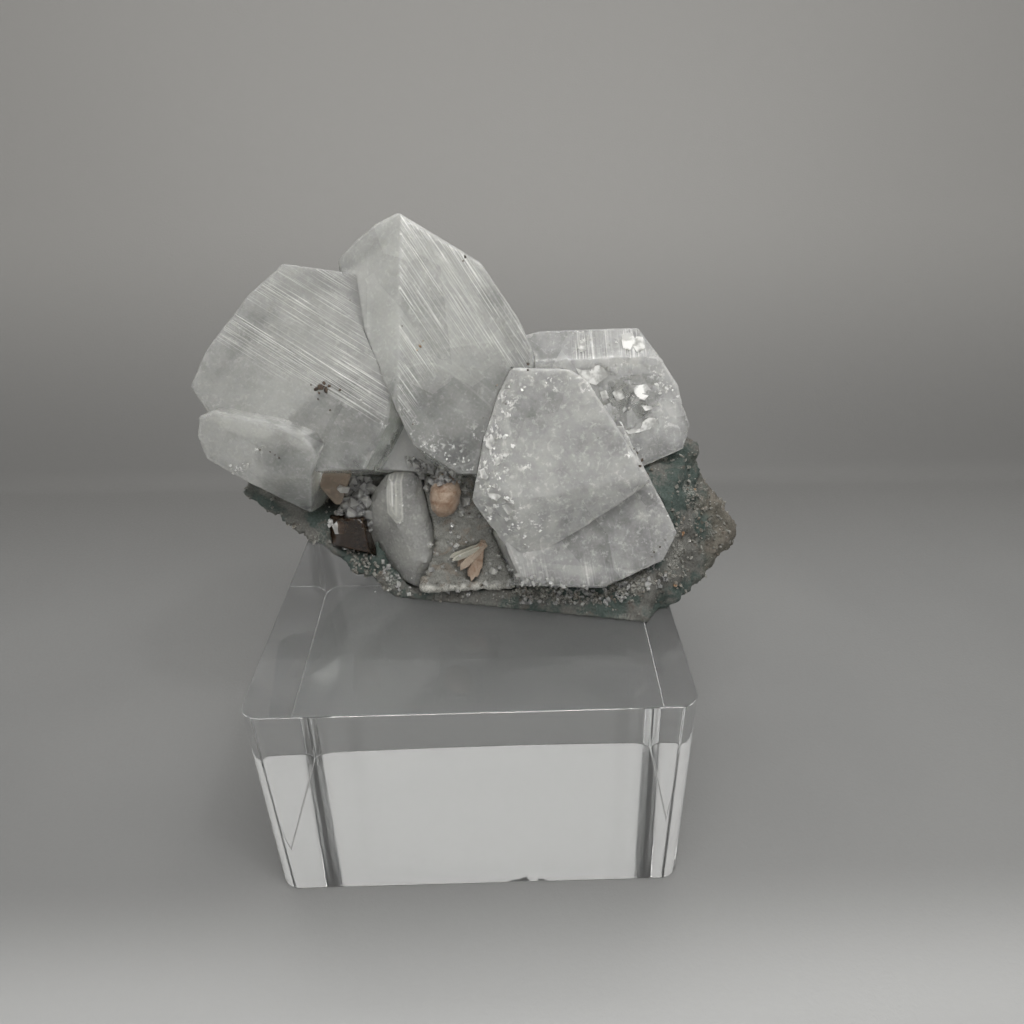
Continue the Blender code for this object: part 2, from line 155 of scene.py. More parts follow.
def worn_planes(spec, wear, seed):
    """The crystal's faces, and a narrow worn facet along each of its edges."""
    planes = crystal_planes(spec)
    bm = convex(planes, Vector(spec["at"]), CRYSTAL_BASE)
    rng = random.Random(seed)
    extra = []
    for e in bm.edges:
        if len(e.link_faces) != 2 or e.calc_length() < 0.5:
            continue
        n1, n2 = (f.normal.copy() for f in e.link_faces)
        angle = n1.angle(n2)
        if angle < 0.15:
            continue
        n = (n1 + n2).normalized()
        width = wear * rng.uniform(0.5, 1.5)
        # sharp edges are paler than blunt ones: whitened chips, partly a painted rim highlight
        pale = 0.05 + 0.95 * smooth((angle - 0.55) / 0.8)
        extra.append((n, n.dot(e.verts[0].co) - 0.5 * width * math.tan(angle / 2), pale))
    bm.free()
    return planes, extra


def grown(spec, by):
    return [(n, d + by) for n, d in crystal_planes(spec)]


def temp(name, bm):
    mesh = bpy.data.meshes.new(name)
    bm.to_mesh(mesh)
    bm.free()
    return link(bpy.data.objects.new(name, mesh))


def solve(first, steps):
    """first joined with or cut by others, as a mesh in millimetres."""
    for op, other in steps:
        mod = first.modifiers.new(op, "BOOLEAN")
        mod.operation = op
        mod.solver = "EXACT"
        mod.object = other
    graph = bpy.context.evaluated_depsgraph_get()
    mesh = bpy.data.meshes.new_from_object(first.evaluated_get(graph))
    bpy.data.objects.remove(first)
    return mesh


def keep_largest(bm):
    left, groups = set(bm.verts), []
    while left:
        seed = left.pop()
        group, stack = [seed], [seed]
        while stack:
            for edge in stack.pop().link_edges:
                for v in edge.verts:
                    if v in left:
                        left.discard(v)
                        group.append(v)
                        stack.append(v)
        groups.append(group)
    groups.sort(key=len, reverse=True)
    for chip in groups[1:]:
        bmesh.ops.delete(bm, geom=chip, context="VERTS")


# ---------------------------------------------------------------------------
# Fine surface of a crystal
# ---------------------------------------------------------------------------
class Lines:
    """Growth striations of one face: straight steps that run along `along`."""

    def __init__(self, plane, along, count, seed, height=0.05, width=0.07,
                 keep=None, length=(3.0, 14.0), extra=()):
        n, d = plane
        self.n, self.d = n, d
        self.v = (along - n * along.dot(n)).normalized()
        self.u = self.v.cross(n).normalized()
        self.keep = keep
        self.rng = random.Random(seed)
        self.count, self.height, self.width, self.length = count, height, width, length
        self.extra = extra
        self.items = []

    def plan(self, points):
        us = [p.dot(self.u) for p in points]
        vs = [p.dot(self.v) for p in points]
        u0, u1, v0, v1 = min(us), max(us), min(vs), max(vs)
        rng = self.rng
        at = []
        for _ in range(self.count):
            at.append(rng.uniform(u0 + 0.15, u1 - 0.15))
        at.sort()
        clean = []
        for u in at:
            if not clean or u - clean[-1] > 2.3 * self.width:
                clean.append(u)
        for u in clean:
            w = self.width * rng.uniform(0.55, 1.0)
            runs = []
            v = v0 - rng.uniform(0, 4)
            while v < v1:
                span = rng.uniform(*self.length)
                strength = rng.random() ** 1.8
                runs.append((v, v + span, strength))
                v += span + rng.uniform(-1.0, 2.5)
            self.items.append((u, w, rng.choice((-1, 1, 1)) * self.height * rng.uniform(0.4, 1.0), runs))
        self.box = (u0, u1, v0, v1)

    def cuts(self):
        for u, w, _, _ in self.items:
            yield u - w
            yield u
            yield u + w

    def share(self, p):
        if self.keep is None:
            return 1.0
        return max(0.0, min(1.0, self.keep(p.dot(self.u), p.dot(self.v), p)))

    def at(self, p):
        """(height, whiteness) of the surface at a point on the face; the whiteness is partly a painted
        highlight of the steps.
        """
        u, v = p.dot(self.u), p.dot(self.v)
        fade = 1.0 if self.keep is None else self.keep(u, v, p)
        if fade <= 0.0:
            return 0.0, 0.0
        h = white = 0.0
        for uu, w, a, runs in self.items:
            if abs(u - uu) > w + 1e-4:
                continue
            t = 1.0 - abs(u - uu) / w
            s = 0.0
            for a0, a1, strength in runs:
                if a0 < v < a1:
                    ends = min(1.0, (v - a0) / 0.9, (a1 - v) / 1.6)
                    s = max(s, ends * strength)
            h += a * t * (0.3 + 0.7 * s)
            white = max(white, t * s)
        return h * fade, white * fade


def smooth(t):
    t = max(0.0, min(1.0, t))
    return t * t * (3 - 2 * t)


def slice_face(bm, layer, k, lines):
    for c in lines.cuts():
        faces = [f for f in bm.faces if f[layer] == k]
        edges = {e for f in faces for e in f.edges}
        verts = {v for f in faces for v in f.verts}
        bmesh.ops.bisect_plane(bm, geom=list(verts) + list(edges) + faces, dist=2e-4,
                               plane_co=lines.u * c, plane_no=lines.u)


def slice_all(bm, frame3, step):
    """Cut the whole skin into small cells along the crystal's own directions."""
    for axis in frame3:
        lo = min(v.co.dot(axis) for v in bm.verts)
        hi = max(v.co.dot(axis) for v in bm.verts)
        n = max(1, int((hi - lo) / step))
        for i in range(1, n):
            c = lo + (hi - lo) * i / n
            bmesh.ops.bisect_plane(bm, geom=bm.verts[:] + bm.edges[:] + bm.faces[:],
                                   dist=2e-4, plane_co=axis * c, plane_no=axis)


def crystal_piece(name, specs, cutters, mat, nodes, step=0.5, wear=0.22,
                  seed=1, lines=(), relief=0.03, masks=(), frost_and_glint_spots=(), sharp=34,
                  cloud=0.10, base=CRYSTAL_BASE, touching=(), broken=None):
    """A crystal (or two grown together) with worn edges, striations and a
    gently uneven skin. specs: tables; cutters: neighbours that it stops at."""
    rng_seed = seed * 37
    plane_list, solids = [], []
    for i, spec in enumerate(specs):
        planes, extra = worn_planes(spec, wear, rng_seed + i)
        first = len(plane_list)
        plane_list += [(n, d, 0.0) for n, d in planes]
        plane_list += extra
        spec["first"] = first
        solids.append(temp(name + "_s%d" % i,
                           convex(planes + [q[:2] for q in extra], Vector(spec["at"]), base)))
    steps = [("UNION", o) for o in solids[1:]]
    cut_objs = [temp(name + "_c%d" % i, convex(grown(c, SEAM), Vector(c["at"]), base - 1.0))
                for i, c in enumerate(cutters)]
    steps += [("DIFFERENCE", o) for o in cut_objs]
    mesh = solve(solids[0], steps)
    for o in solids[1:] + cut_objs:
        bpy.data.objects.remove(o)

    bm = bmesh.new()
    bm.from_mesh(mesh)
    bpy.data.meshes.remove(mesh)
    bmesh.ops.remove_doubles(bm, verts=bm.verts, dist=3e-3)
    keep_largest(bm)
    bmesh.ops.dissolve_limit(bm, angle_limit=0.004, verts=bm.verts, edges=bm.edges)
    bm.normal_update()
    layer = bm.faces.layers.int.new("plane")
    for f in bm.faces:
        c = f.calc_center_median()
        f[layer] = -1
        for k, (n, d, _) in enumerate(plane_list):
            if n.dot(f.normal) > 0.9995 and abs(n.dot(c) - d) < 0.02:
                f[layer] = k
                break
    active = {}
    for ln in lines:
        for k, (n, d, _) in enumerate(plane_list):
            if n.dot(ln.n) > 0.99999 and abs(d - ln.d) < 1e-3:
                pts = [v.co for f in bm.faces if f[layer] == k for v in f.verts]
                if pts:
                    ln.plan(pts)
                    slice_face(bm, layer, k, ln)
                    active[k] = ln
                break
    slice_all(bm, crystal_frame(specs[0]), step)
    bmesh.ops.remove_doubles(bm, verts=bm.verts, dist=1e-3)
    bm.normal_update()

    a_line_white_and_highlight = bm.verts.layers.float.new("line")
    a_edge_chip_and_rim_light = bm.verts.layers.float.new("edge")
    a_milk = bm.verts.layers.float.new("milk")
    a_ruled = bm.verts.layers.float.new("ruled")
    a_frost_and_glint = bm.verts.layers.float.new("frost_and_glint")
    a_painted_contact_light = bm.verts.layers.float.new("painted_contact_light")
    shift = Vector((seed * 7.3, seed * 3.1, seed * 1.7))
    neighbours = [crystal_planes(c) for c in list(cutters) + list(touching)]
    moves = []
    for v in bm.verts:
        p = v.co
        ks = {f[layer] for f in v.link_faces}
        on_edge = max([plane_list[k][2] for k in ks if k >= 0] + [0.0])
        inner = -1 in ks
        q = p * 0.35 + shift
        h = relief * (noise.noise(q) + 0.6 * noise.noise(p * 1.1 + shift))
        move = v.normal * h
        if on_edge and not inner:
            c = noise.noise(p * 0.9 + shift * 2)
            f2 = noise.noise(p * 2.7 - shift)
            chip = max(0.0, c - 0.18) * 0.55 + max(0.0, f2 - 0.1) * 0.14
            move -= v.normal * chip * (0.4 + 0.6 * on_edge)
            # chipped edges are whitened, partly a painted rim highlight
            v[a_edge_chip_and_rim_light] = min(1.0, 0.4 + chip * 3) * on_edge
        elif inner:
            move *= 0.0
        for k in ks:
            ln = active.get(k)
            if ln:
                lh, white = ln.at(p)
                move += ln.n * lh
                # striations whitened, partly a painted highlight of their steps
                v[a_line_white_and_highlight] = max(v[a_line_white_and_highlight], white)
                v[a_ruled] = max(v[a_ruled], ln.share(p))
        milk = cloud * (noise.fractal(p * 0.21 + shift, 1.0, 2.1, 4)
                        + 0.5 * noise.noise(p * 0.9 - shift))
        for m in masks:
            milk += m(p, ks)
        v[a_milk] = max(-1.0, min(1.0, milk))
        if broken and not inner:
            move += v.normal * broken(p)
        # frost whiteness, partly painted glints
        v[a_frost_and_glint] = max([0.0] + [f(p, ks) for f in frost_and_glint_spots])
        # painted light: paler where it meets a neighbour, lifting the shade of the contact
        for other in neighbours:
            away = max(n.dot(p) - d for n, d in other)
            v[a_painted_contact_light] = max(v[a_painted_contact_light], smooth(1.0 - away / 0.9))
        moves.append(move)
    for v, move in zip(bm.verts, moves):
        v.co += move
    bmesh.ops.triangulate(bm, faces=[f for f in bm.faces if len(f.verts) > 4])
    return finish_piece(name, bm, mat, nodes, sharp=sharp)


def finish_piece(name, bm, mat, nodes, sharp=None, smooth=True):
    """bm in millimetres becomes a piece in metres."""
    SKINS[name] = BVHTree.FromBMesh(bm)
    bmesh.ops.scale(bm, vec=Vector((MM, MM, MM)), verts=bm.verts)
    bmesh.ops.recalc_face_normals(bm, faces=bm.faces)
    mesh = bpy.data.meshes.new(name)
    bm.to_mesh(mesh)
    bm.free()
    mesh.materials.append(mat)
    obj = link(bpy.data.objects.new(name, mesh))
    if smooth:
        mesh.shade_smooth()
        if sharp is not None:
            mesh.set_sharp_from_angle(angle=math.radians(sharp))
    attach(obj, "root")
    if nodes:
        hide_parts(*nodes)
    return obj


# ---------------------------------------------------------------------------
# Materials
# ---------------------------------------------------------------------------
class Graph:
    """Small helper to build a node material."""

    def __init__(self, name):
        self.mat = bpy.data.materials.new(name)
        self.mat.use_nodes = True
        self.tree = self.mat.node_tree
        self.bsdf = self.tree.nodes["Principled BSDF"]
        self.out = self.tree.nodes["Material Output"]

    def node(self, kind, **values):
        n = self.tree.nodes.new(kind)
        for key, val in values.items():
            setattr(n, key, val)
        return n

    def link(self, a, b):
        self.tree.links.new(a, b)

    def put(self, socket, value):
        if isinstance(value, bpy.types.NodeSocket):
            self.link(value, socket)
        else:
            socket.default_value = value

    def math(self, op, a, b=None, c=None, clamp=False):
        n = self.node("ShaderNodeMath", operation=op, use_clamp=clamp)
        for i, x in enumerate((a, b, c)):
            if x is not None:
                self.put(n.inputs[i], x)
        return n.outputs[0]

    def ramp(self, value, lo, hi, a=0.0, b=1.0):
        n = self.node("ShaderNodeMapRange", interpolation_type="SMOOTHSTEP")
        self.put(n.inputs["Value"], value)
        for key, x in (("From Min", lo), ("From Max", hi), ("To Min", a), ("To Max", b)):
            self.put(n.inputs[key], x)
        return n.outputs["Result"]

    def mix(self, factor, a, b):
        n = self.node("ShaderNodeMix", data_type="RGBA")
        self.put(n.inputs[0], factor)
        self.put(n.inputs[6], a)
        self.put(n.inputs[7], b)
        return n.outputs[2]

    def noise(self, vec, scale, detail=3.0, rough=0.55, distort=0.0):
        n = self.node("ShaderNodeTexNoise")
        self.put(n.inputs["Vector"], vec)
        n.inputs["Scale"].default_value = scale
        n.inputs["Detail"].default_value = detail
        n.inputs["Roughness"].default_value = rough
        n.inputs["Distortion"].default_value = distort
        return n.outputs[0]

    def voronoi(self, vec, scale, feature="F1"):
        n = self.node("ShaderNodeTexVoronoi", feature=feature)
        self.put(n.inputs["Vector"], vec)
        n.inputs["Scale"].default_value = scale
        return n.outputs["Distance"]

    def cells(self, vec, scale):
        """Blocky cells, a number for each cell."""
        n = self.node("ShaderNodeTexVoronoi", distance="CHEBYCHEV")
        self.link(vec, n.inputs["Vector"])
        n.inputs["Scale"].default_value = scale
        sep = self.node("ShaderNodeSeparateColor")
        self.link(n.outputs["Color"], sep.inputs[0])
        return sep.outputs[0]

    def inside(self, plane, pixels):
        """Distance in mm inside a convex outline drawn on a crystal face."""
        co = self.place()
        points = [on_plane(u, v, plane) for u, v in pixels]
        centre = sum(points, Vector()) / len(points)
        dist = None
        for a, b in zip(points, points[1:] + points[:1]):
            m = plane[0].cross(b - a).normalized()
            if m.dot(centre - a) < 0:
                m = -m
            n = self.node("ShaderNodeVectorMath", operation="DOT_PRODUCT")
            self.link(co, n.inputs[0])
            n.inputs[1].default_value = m
            d = self.math("SUBTRACT", n.outputs["Value"], m.dot(a))
            dist = d if dist is None else self.math("SMOOTH_MIN", dist, d, 0.5)
        return dist

    def attribute(self, name):
        n = self.node("ShaderNodeAttribute", attribute_name=name)
        return n.outputs["Fac"]

    def place(self, turn=None, stretch=(1, 1, 1)):
        """Object coordinates in millimetres, turned into a crystal's frame."""
        co = self.node("ShaderNodeTexCoord").outputs["Object"]
        if turn is None:
            n = self.node("ShaderNodeVectorMath", operation="MULTIPLY")
            self.link(co, n.inputs[0])
            n.inputs[1].default_value = [1000.0 * s for s in stretch]
            return n.outputs[0]
        comb = self.node("ShaderNodeCombineXYZ")
        for i, (axis, s) in enumerate(zip(turn, stretch)):
            d = self.node("ShaderNodeVectorMath", operation="DOT_PRODUCT")
            self.link(co, d.inputs[0])
            d.inputs[1].default_value = [c * 1000.0 * s for c in axis]
            self.link(d.outputs["Value"], comb.inputs[i])
        return comb.outputs[0]

    def bump(self, height, distance, strength=1.0, normal=None):
        n = self.node("ShaderNodeBump")
        n.inputs["Distance"].default_value = distance
        n.inputs["Strength"].default_value = strength
        self.link(height, n.inputs["Height"])
        if normal is not None:
            self.link(normal, n.inputs["Normal"])
        return n.outputs["Normal"]


def crystal_material(name, spec, milk=0.45, veil=0.12, grain=0.03,
                     rough=0.05, tint=(0.975, 0.977, 0.962), body=(0.86, 0.865, 0.84),
                     absorb=((0.82, 0.87, 0.83), 30.0), ior=1.535, zones=(), ruling=(3.6, 8.5),
                     scatter=0.0024, haze=0.06, wobble=0.0, bright_line=(0.95, 0.95, 0.935),
                     rim=1.0, veins=0.0):
    """Glassy crystal with milky veils. milk is how cloudy it is on average.
    zones: (face plane, pixels of the photo's frame, softness, change of milk,
    brightness of the outline)."""
    g = Graph(name)
    b = g.bsdf.inputs
    p = g.place(crystal_frame(spec))
    fine = g.noise(p, 3.0, 2.0, 0.6)
    cells = g.cells(g.place(crystal_frame(spec), (1.0, 1.0, 0.55)), 0.15)
    line, edge, mask, ruled, frost_and_glint, painted_contact_light = (g.attribute(x) for x in
                                             ("line", "edge", "milk", "ruled", "frost_and_glint", "painted_contact_light"))
    if rim != 1.0:
        edge = g.math("MULTIPLY", edge, rim)
    # growth lines: long and fine, in bundles, painted white, partly as a painted highlight of the
    # striations
    thin = g.place(crystal_frame(spec), (0.0, 1.0, 0.018))
    broad = g.ramp(g.noise(thin, ruling[0], 2.0, 0.55), 0.575, 0.66)
    hair = g.ramp(g.noise(thin, ruling[1], 1.0, 0.5), 0.54, 0.68)
    bundle = g.ramp(g.noise(g.place(crystal_frame(spec), (0.0, 0.35, 0.09)), 1.0, 3.0, 0.6),
                    0.36, 0.62, 0.22, 1.0)
    rules = g.math("MAXIMUM", g.math("MULTIPLY", broad, 0.80), g.math("MULTIPLY", hair, 0.50))
    rules = g.math("MULTIPLY", g.math("MULTIPLY", rules, bundle), ruled)
    rules = g.math("MAXIMUM", rules, line)
    spots = g.noise(p, 1.5, 4.0, 0.72, 0.3)
    # white flecks on frosted places; on the front right crystal they are partly painted glints
    flecks = g.math("MULTIPLY", g.ramp(spots, 0.53, 0.62), frost_and_glint)
    m = g.math("MULTIPLY_ADD", g.math("SUBTRACT", cells, 0.5), veil, milk)
    m = g.math("MULTIPLY_ADD", g.math("SUBTRACT", fine, 0.5), 4.0 * grain, m)
    m = g.math("ADD", m, mask)
    m = g.math("MULTIPLY_ADD", g.ramp(spots, 0.52, 0.70), haze, m)
    if veins:
        # healed cracks: long thin curved veils, here and there
        crack = g.math("ABSOLUTE", g.math("SUBTRACT", g.noise(p, 0.19, 1.0, 0.5, 0.5), 0.5))
        crack = g.math("MULTIPLY", g.ramp(crack, 0.009, 0.001), g.ramp(spots, 0.42, 0.54))
        m = g.math("MULTIPLY_ADD", crack, veins, m)
    outline = None
    for plane, pixels, soft, change, bright in zones:
        dist = g.inside(plane, pixels)
        if wobble:
            dist = g.math("MULTIPLY_ADD", g.math("SUBTRACT", spots, 0.5), wobble, dist)
        m = g.math("MULTIPLY_ADD", g.ramp(dist, -soft, soft), change, m)
        rim = g.math("MULTIPLY", g.ramp(g.math("ABSOLUTE", dist), 0.20, 0.02), bright)
        outline = rim if outline is None else g.math("MAXIMUM", outline, rim)
    if outline is not None:
        m = g.math("ADD", m, g.math("MULTIPLY", outline, 0.6))
    # painted light: milkier at chipped edges (partly a painted rim highlight) and where crystals meet
    # (painted fill of the contact shade)
    m = g.math("MULTIPLY_ADD", g.math("MAXIMUM", edge, painted_contact_light), 0.09, m)
    white = g.math("MAXIMUM", rules, flecks)
    # whiter along chipped edges, partly a painted rim highlight
    white = g.math("MAXIMUM", white, g.math("MULTIPLY", edge, 0.26))
    # painted light: whiter where crystals meet, filling the contact shade
    white = g.math("MAXIMUM", white, g.math("MULTIPLY", g.math("POWER", painted_contact_light, 3.0), 0.22))
    m = g.math("MULTIPLY_ADD", white, 0.75, m, clamp=True)
    g.link(g.math("MULTIPLY_ADD", m, -0.93, 0.98), b["Transmission Weight"])
    g.link(g.mix(white, g.mix(m, (*tint, 1), (*body, 1)), (*bright_line, 1)),
           b["Base Color"])
    g.link(g.math("MULTIPLY_ADD", m, 0.14, rough), b["Roughness"])
    b["IOR"].default_value = ior
    g.link(g.math("MULTIPLY_ADD", white, -0.85, 1.0), b["Subsurface Weight"])
    b["Subsurface Radius"].default_value = (1.0, 1.0, 0.96)
    b["Subsurface Scale"].default_value = scatter
    g.link(g.bump(fine, 0.00004, 0.5), b["Normal"])
    vol = g.node("ShaderNodeVolumeAbsorption")
    vol.inputs["Color"].default_value = (*absorb[0], 1)
    vol.inputs["Density"].default_value = absorb[1]
    g.link(vol.outputs[0], g.out.inputs["Volume"])
    return g.mat


def rock_material():
    g = Graph("basalt_look")
    p = g.place()
    big = g.noise(p, 0.16, 3.0, 0.6, 0.5)
    mid = g.noise(p, 0.8, 4.0, 0.68, 0.6)
    fine = g.noise(p, 4.2, 3.0, 0.7)
    cells = g.voronoi(p, 2.2)
    teal = g.mix(fine, (0.028, 0.043, 0.038, 1), (0.125, 0.165, 0.148, 1))
    grey = g.mix(fine, (0.066, 0.066, 0.061, 1), (0.28, 0.278, 0.255, 1))
    brown = g.mix(fine, (0.055, 0.040, 0.030, 1), (0.21, 0.17, 0.135, 1))
    col = g.mix(g.ramp(g.math("MULTIPLY_ADD", mid, 0.4, big), 0.62, 0.76), teal, grey)
    col = g.mix(g.math("MULTIPLY", g.ramp(mid, 0.56, 0.70), 0.6), col, brown)
    col = g.mix(g.attribute("tan"), col, g.mix(fine, (0.10, 0.082, 0.062, 1),
                                               (0.36, 0.32, 0.265, 1)))
    col = g.mix(g.math("MULTIPLY", g.attribute("pale"), g.ramp(fine, 0.40, 0.62)),
                col, (0.40, 0.40, 0.365, 1))
    col = g.mix(g.math("MULTIPLY", g.ramp(cells, 0.20, 0.08), g.ramp(mid, 0.45, 0.60)),
                col, (0.46, 0.455, 0.42, 1))
    # painted shade: the cavity is painted near-black
    col = g.mix(g.attribute("painted_hollow_shade"), col, (0.010, 0.009, 0.008, 1))
    g.link(col, g.bsdf.inputs["Base Color"])
    g.link(g.ramp(fine, 0.3, 0.7, 0.85, 0.45), g.bsdf.inputs["Roughness"])
    g.bsdf.inputs["Specular IOR Level"].default_value = 0.45
    g.link(g.bump(fine, 0.00022, 0.9), g.bsdf.inputs["Normal"])
    return g.mat


def druse_material(name="druse_look", dark=(0.20, 0.19, 0.17), pale=(0.62, 0.61, 0.56),
                   clear=0.15, grit=0.00012):
    g = Graph(name)
    p = g.place()
    mid = g.noise(p, 0.9, 4.0, 0.6, 0.8)
    fine = g.noise(p, 4.0, 3.0, 0.7)
    stain = g.noise(p, 0.4, 3.0, 0.6, 1.0)
    col = g.mix(g.ramp(mid, 0.35, 0.65), (*dark, 1), (*pale, 1))
    col = g.mix(g.math("MULTIPLY", g.ramp(stain, 0.52, 0.66), 0.35), col, (0.30, 0.21, 0.14, 1))
    col = g.mix(g.attribute("pale"), col, (0.66, 0.65, 0.60, 1))
    g.link(col, g.bsdf.inputs["Base Color"])
    g.link(g.ramp(fine, 0.35, 0.65, 0.12, 0.45), g.bsdf.inputs["Roughness"])
    g.link(g.ramp(mid, 0.4, 0.7, clear, clear + 0.3), g.bsdf.inputs["Transmission Weight"])
    g.bsdf.inputs["IOR"].default_value = 1.535
    g.link(g.bump(fine, grit, 0.7), g.bsdf.inputs["Normal"])
    return g.mat


def stilbite_material():
    g = Graph("stilbite_look")
    p = g.place()
    mid = g.noise(p, 0.8, 3.0, 0.6, 0.5)
    fine = g.noise(p, 5.0, 3.0, 0.6)
    col = g.mix(g.ramp(mid, 0.35, 0.68), (0.52, 0.405, 0.31, 1), (0.33, 0.205, 0.135, 1))
    col = g.mix(g.math("MULTIPLY", g.ramp(fine, 0.58, 0.72), 0.6), col, (0.24, 0.11, 0.06, 1))
    col = g.mix(g.attribute("pale"), col, (0.60, 0.58, 0.50, 1))
    g.link(col, g.bsdf.inputs["Base Color"])
    g.link(g.ramp(fine, 0.3, 0.7, 0.25, 0.5), g.bsdf.inputs["Roughness"])
    g.bsdf.inputs["Transmission Weight"].default_value = 0.12
    g.bsdf.inputs["IOR"].default_value = 1.5
    g.bsdf.inputs["Sheen Weight"].default_value = 0.15
    g.link(g.bump(fine, 0.00008, 0.7), g.bsdf.inputs["Normal"])
    return g.mat


def acrylic_material():
    g = Graph("acrylic_look")
    p = g.place()
    b = g.bsdf.inputs
    b["Base Color"].default_value = (0.985, 0.99, 0.99, 1)
    b["Transmission Weight"].default_value = 0.93
    b["IOR"].default_value = 1.49
    g.link(g.ramp(g.noise(p, 0.5, 3.0), 0.3, 0.75, 0.0, 0.03), b["Roughness"])
    g.link(g.bump(g.noise(p, 0.10, 2.0), 0.00001, 0.2), b["Normal"])
    vol = g.node("ShaderNodeVolumeAbsorption")
    vol.inputs["Color"].default_value = (0.93, 0.96, 0.96, 1)
    vol.inputs["Density"].default_value = 5.0
    g.link(vol.outputs[0], g.out.inputs["Volume"])
    return g.mat


def speck_material(name, dark, pale):
    g = Graph(name)
    p = g.place()
    g.link(g.mix(g.ramp(g.noise(p, 3.5, 3.0), 0.35, 0.65), (*dark, 1), (*pale, 1)),
           g.bsdf.inputs["Base Color"])
    g.link(g.ramp(g.noise(p, 6.0), 0.3, 0.7, 0.35, 0.7), g.bsdf.inputs["Roughness"])
    g.link(g.bump(g.noise(p, 7.0), 0.00008, 0.8), g.bsdf.inputs["Normal"])
    return g.mat


def glint_flake_material():
    # painted glints: near-white, glossy plates
    g = Graph("painted_glint_flake_look")
    p = g.place()
    soft = g.noise(p, 0.9, 2.0, 0.5)
    g.link(g.mix(g.ramp(soft, 0.35, 0.65), (0.80, 0.80, 0.775, 1), (0.97, 0.97, 0.95, 1)),
           g.bsdf.inputs["Base Color"])
    g.link(g.ramp(soft, 0.3, 0.7, 0.05, 0.20), g.bsdf.inputs["Roughness"])
    g.link(g.ramp(soft, 0.62, 0.38, 0.16, 0.62), g.bsdf.inputs["Transmission Weight"])
    g.bsdf.inputs["IOR"].default_value = 1.535
    return g.mat


def floor_material_with_painted_light(name, low, high):
    g = Graph(name)
    p = g.place()
    fine = g.noise(p, 1.8, 3.0, 0.6)
    sep = g.node("ShaderNodeSeparateXYZ")
    g.link(p, sep.inputs[0])
    # painted light and shade: paler in front of the block, darker behind it, and lighter again up the
    # slope
    front = g.ramp(sep.outputs["Y"], -19.0, -38.0, 0.0, 1.0)
    back = g.ramp(sep.outputs["Y"], 25.0, 95.0, 0.0, 1.0)
    up = g.ramp(sep.outputs["Z"], 2.0, 55.0, 0.0, 1.0)
    col = g.mix(g.ramp(g.noise(p, 0.02, 2.0), 0.3, 0.7), (*low, 1), (*high, 1))
    col = g.mix(front, col, (0.53, 0.535, 0.535, 1))
    col = g.mix(back, col, (0.215, 0.214, 0.21, 1))
    g.link(g.mix(up, col, (0.36, 0.355, 0.345, 1)), g.bsdf.inputs["Base Color"])
    g.link(g.ramp(fine, 0.3, 0.7, 0.42, 0.55), g.bsdf.inputs["Roughness"])
    g.bsdf.inputs["Specular IOR Level"].default_value = 0.5
    g.link(g.bump(fine, 0.00012, 0.35), g.bsdf.inputs["Normal"])
    return g.mat


# ---------------------------------------------------------------------------
# Camera, room and lights
# ---------------------------------------------------------------------------
CAMERA_AT = Vector((4.808, -82.938, 88.195))
PITCH, YAW, ROLL = 0.515998, 0.00475932, -0.02426369


def camera_basis():
    forward = Vector((math.sin(YAW) * math.cos(PITCH), math.cos(YAW) * math.cos(PITCH),
                      -math.sin(PITCH)))
    right = Vector((math.cos(YAW), -math.sin(YAW), 0.0))
    up = right.cross(forward)
    return (math.cos(ROLL) * right + math.sin(ROLL) * up,
            -math.sin(ROLL) * right + math.cos(ROLL) * up, forward)


RIGHT, UP, FORWARD = camera_basis()
cam_data = bpy.data.cameras.new("camera")
cam_data.sensor_width = 36.0
cam_data.lens = 27.2
cam_data.clip_start = 0.005
cam_data.clip_end = 20.0
cam = link(bpy.data.objects.new("camera", cam_data))
cam.matrix_world = Matrix.Translation(CAMERA_AT * MM) @ Matrix(
    (RIGHT, UP, -FORWARD)).transposed().to_4x4()
scene.camera = cam
PIXELS = 27.2 / 36.0 * 1024.0


def pixel_ray(u, v):
    return (FORWARD + RIGHT * ((u - 512.0) / PIXELS)
            - UP * ((v - 512.0) / PIXELS)).normalized()


def on_plane(u, v, plane):
    """Where the camera's ray through a pixel meets a crystal face, in mm."""
    n, d = plane
    ray = pixel_ray(u, v)
    return CAMERA_AT + ray * ((d - n.dot(CAMERA_AT)) / n.dot(ray))


SKINS = {}


def hit(u, v, names=None):
    """(point in mm, normal, piece) that the camera sees through a pixel."""
    ray, best = pixel_ray(u, v), None
    for name, tree in SKINS.items():
        if names is not None and name not in names:
            continue
        at, n, _, dist = tree.ray_cast(CAMERA_AT, ray)
        if at is not None and (best is None or dist < best[3]):
            best = (at, n if n.dot(ray) < 0 else -n, name, dist)
    return best[:3] if best else None


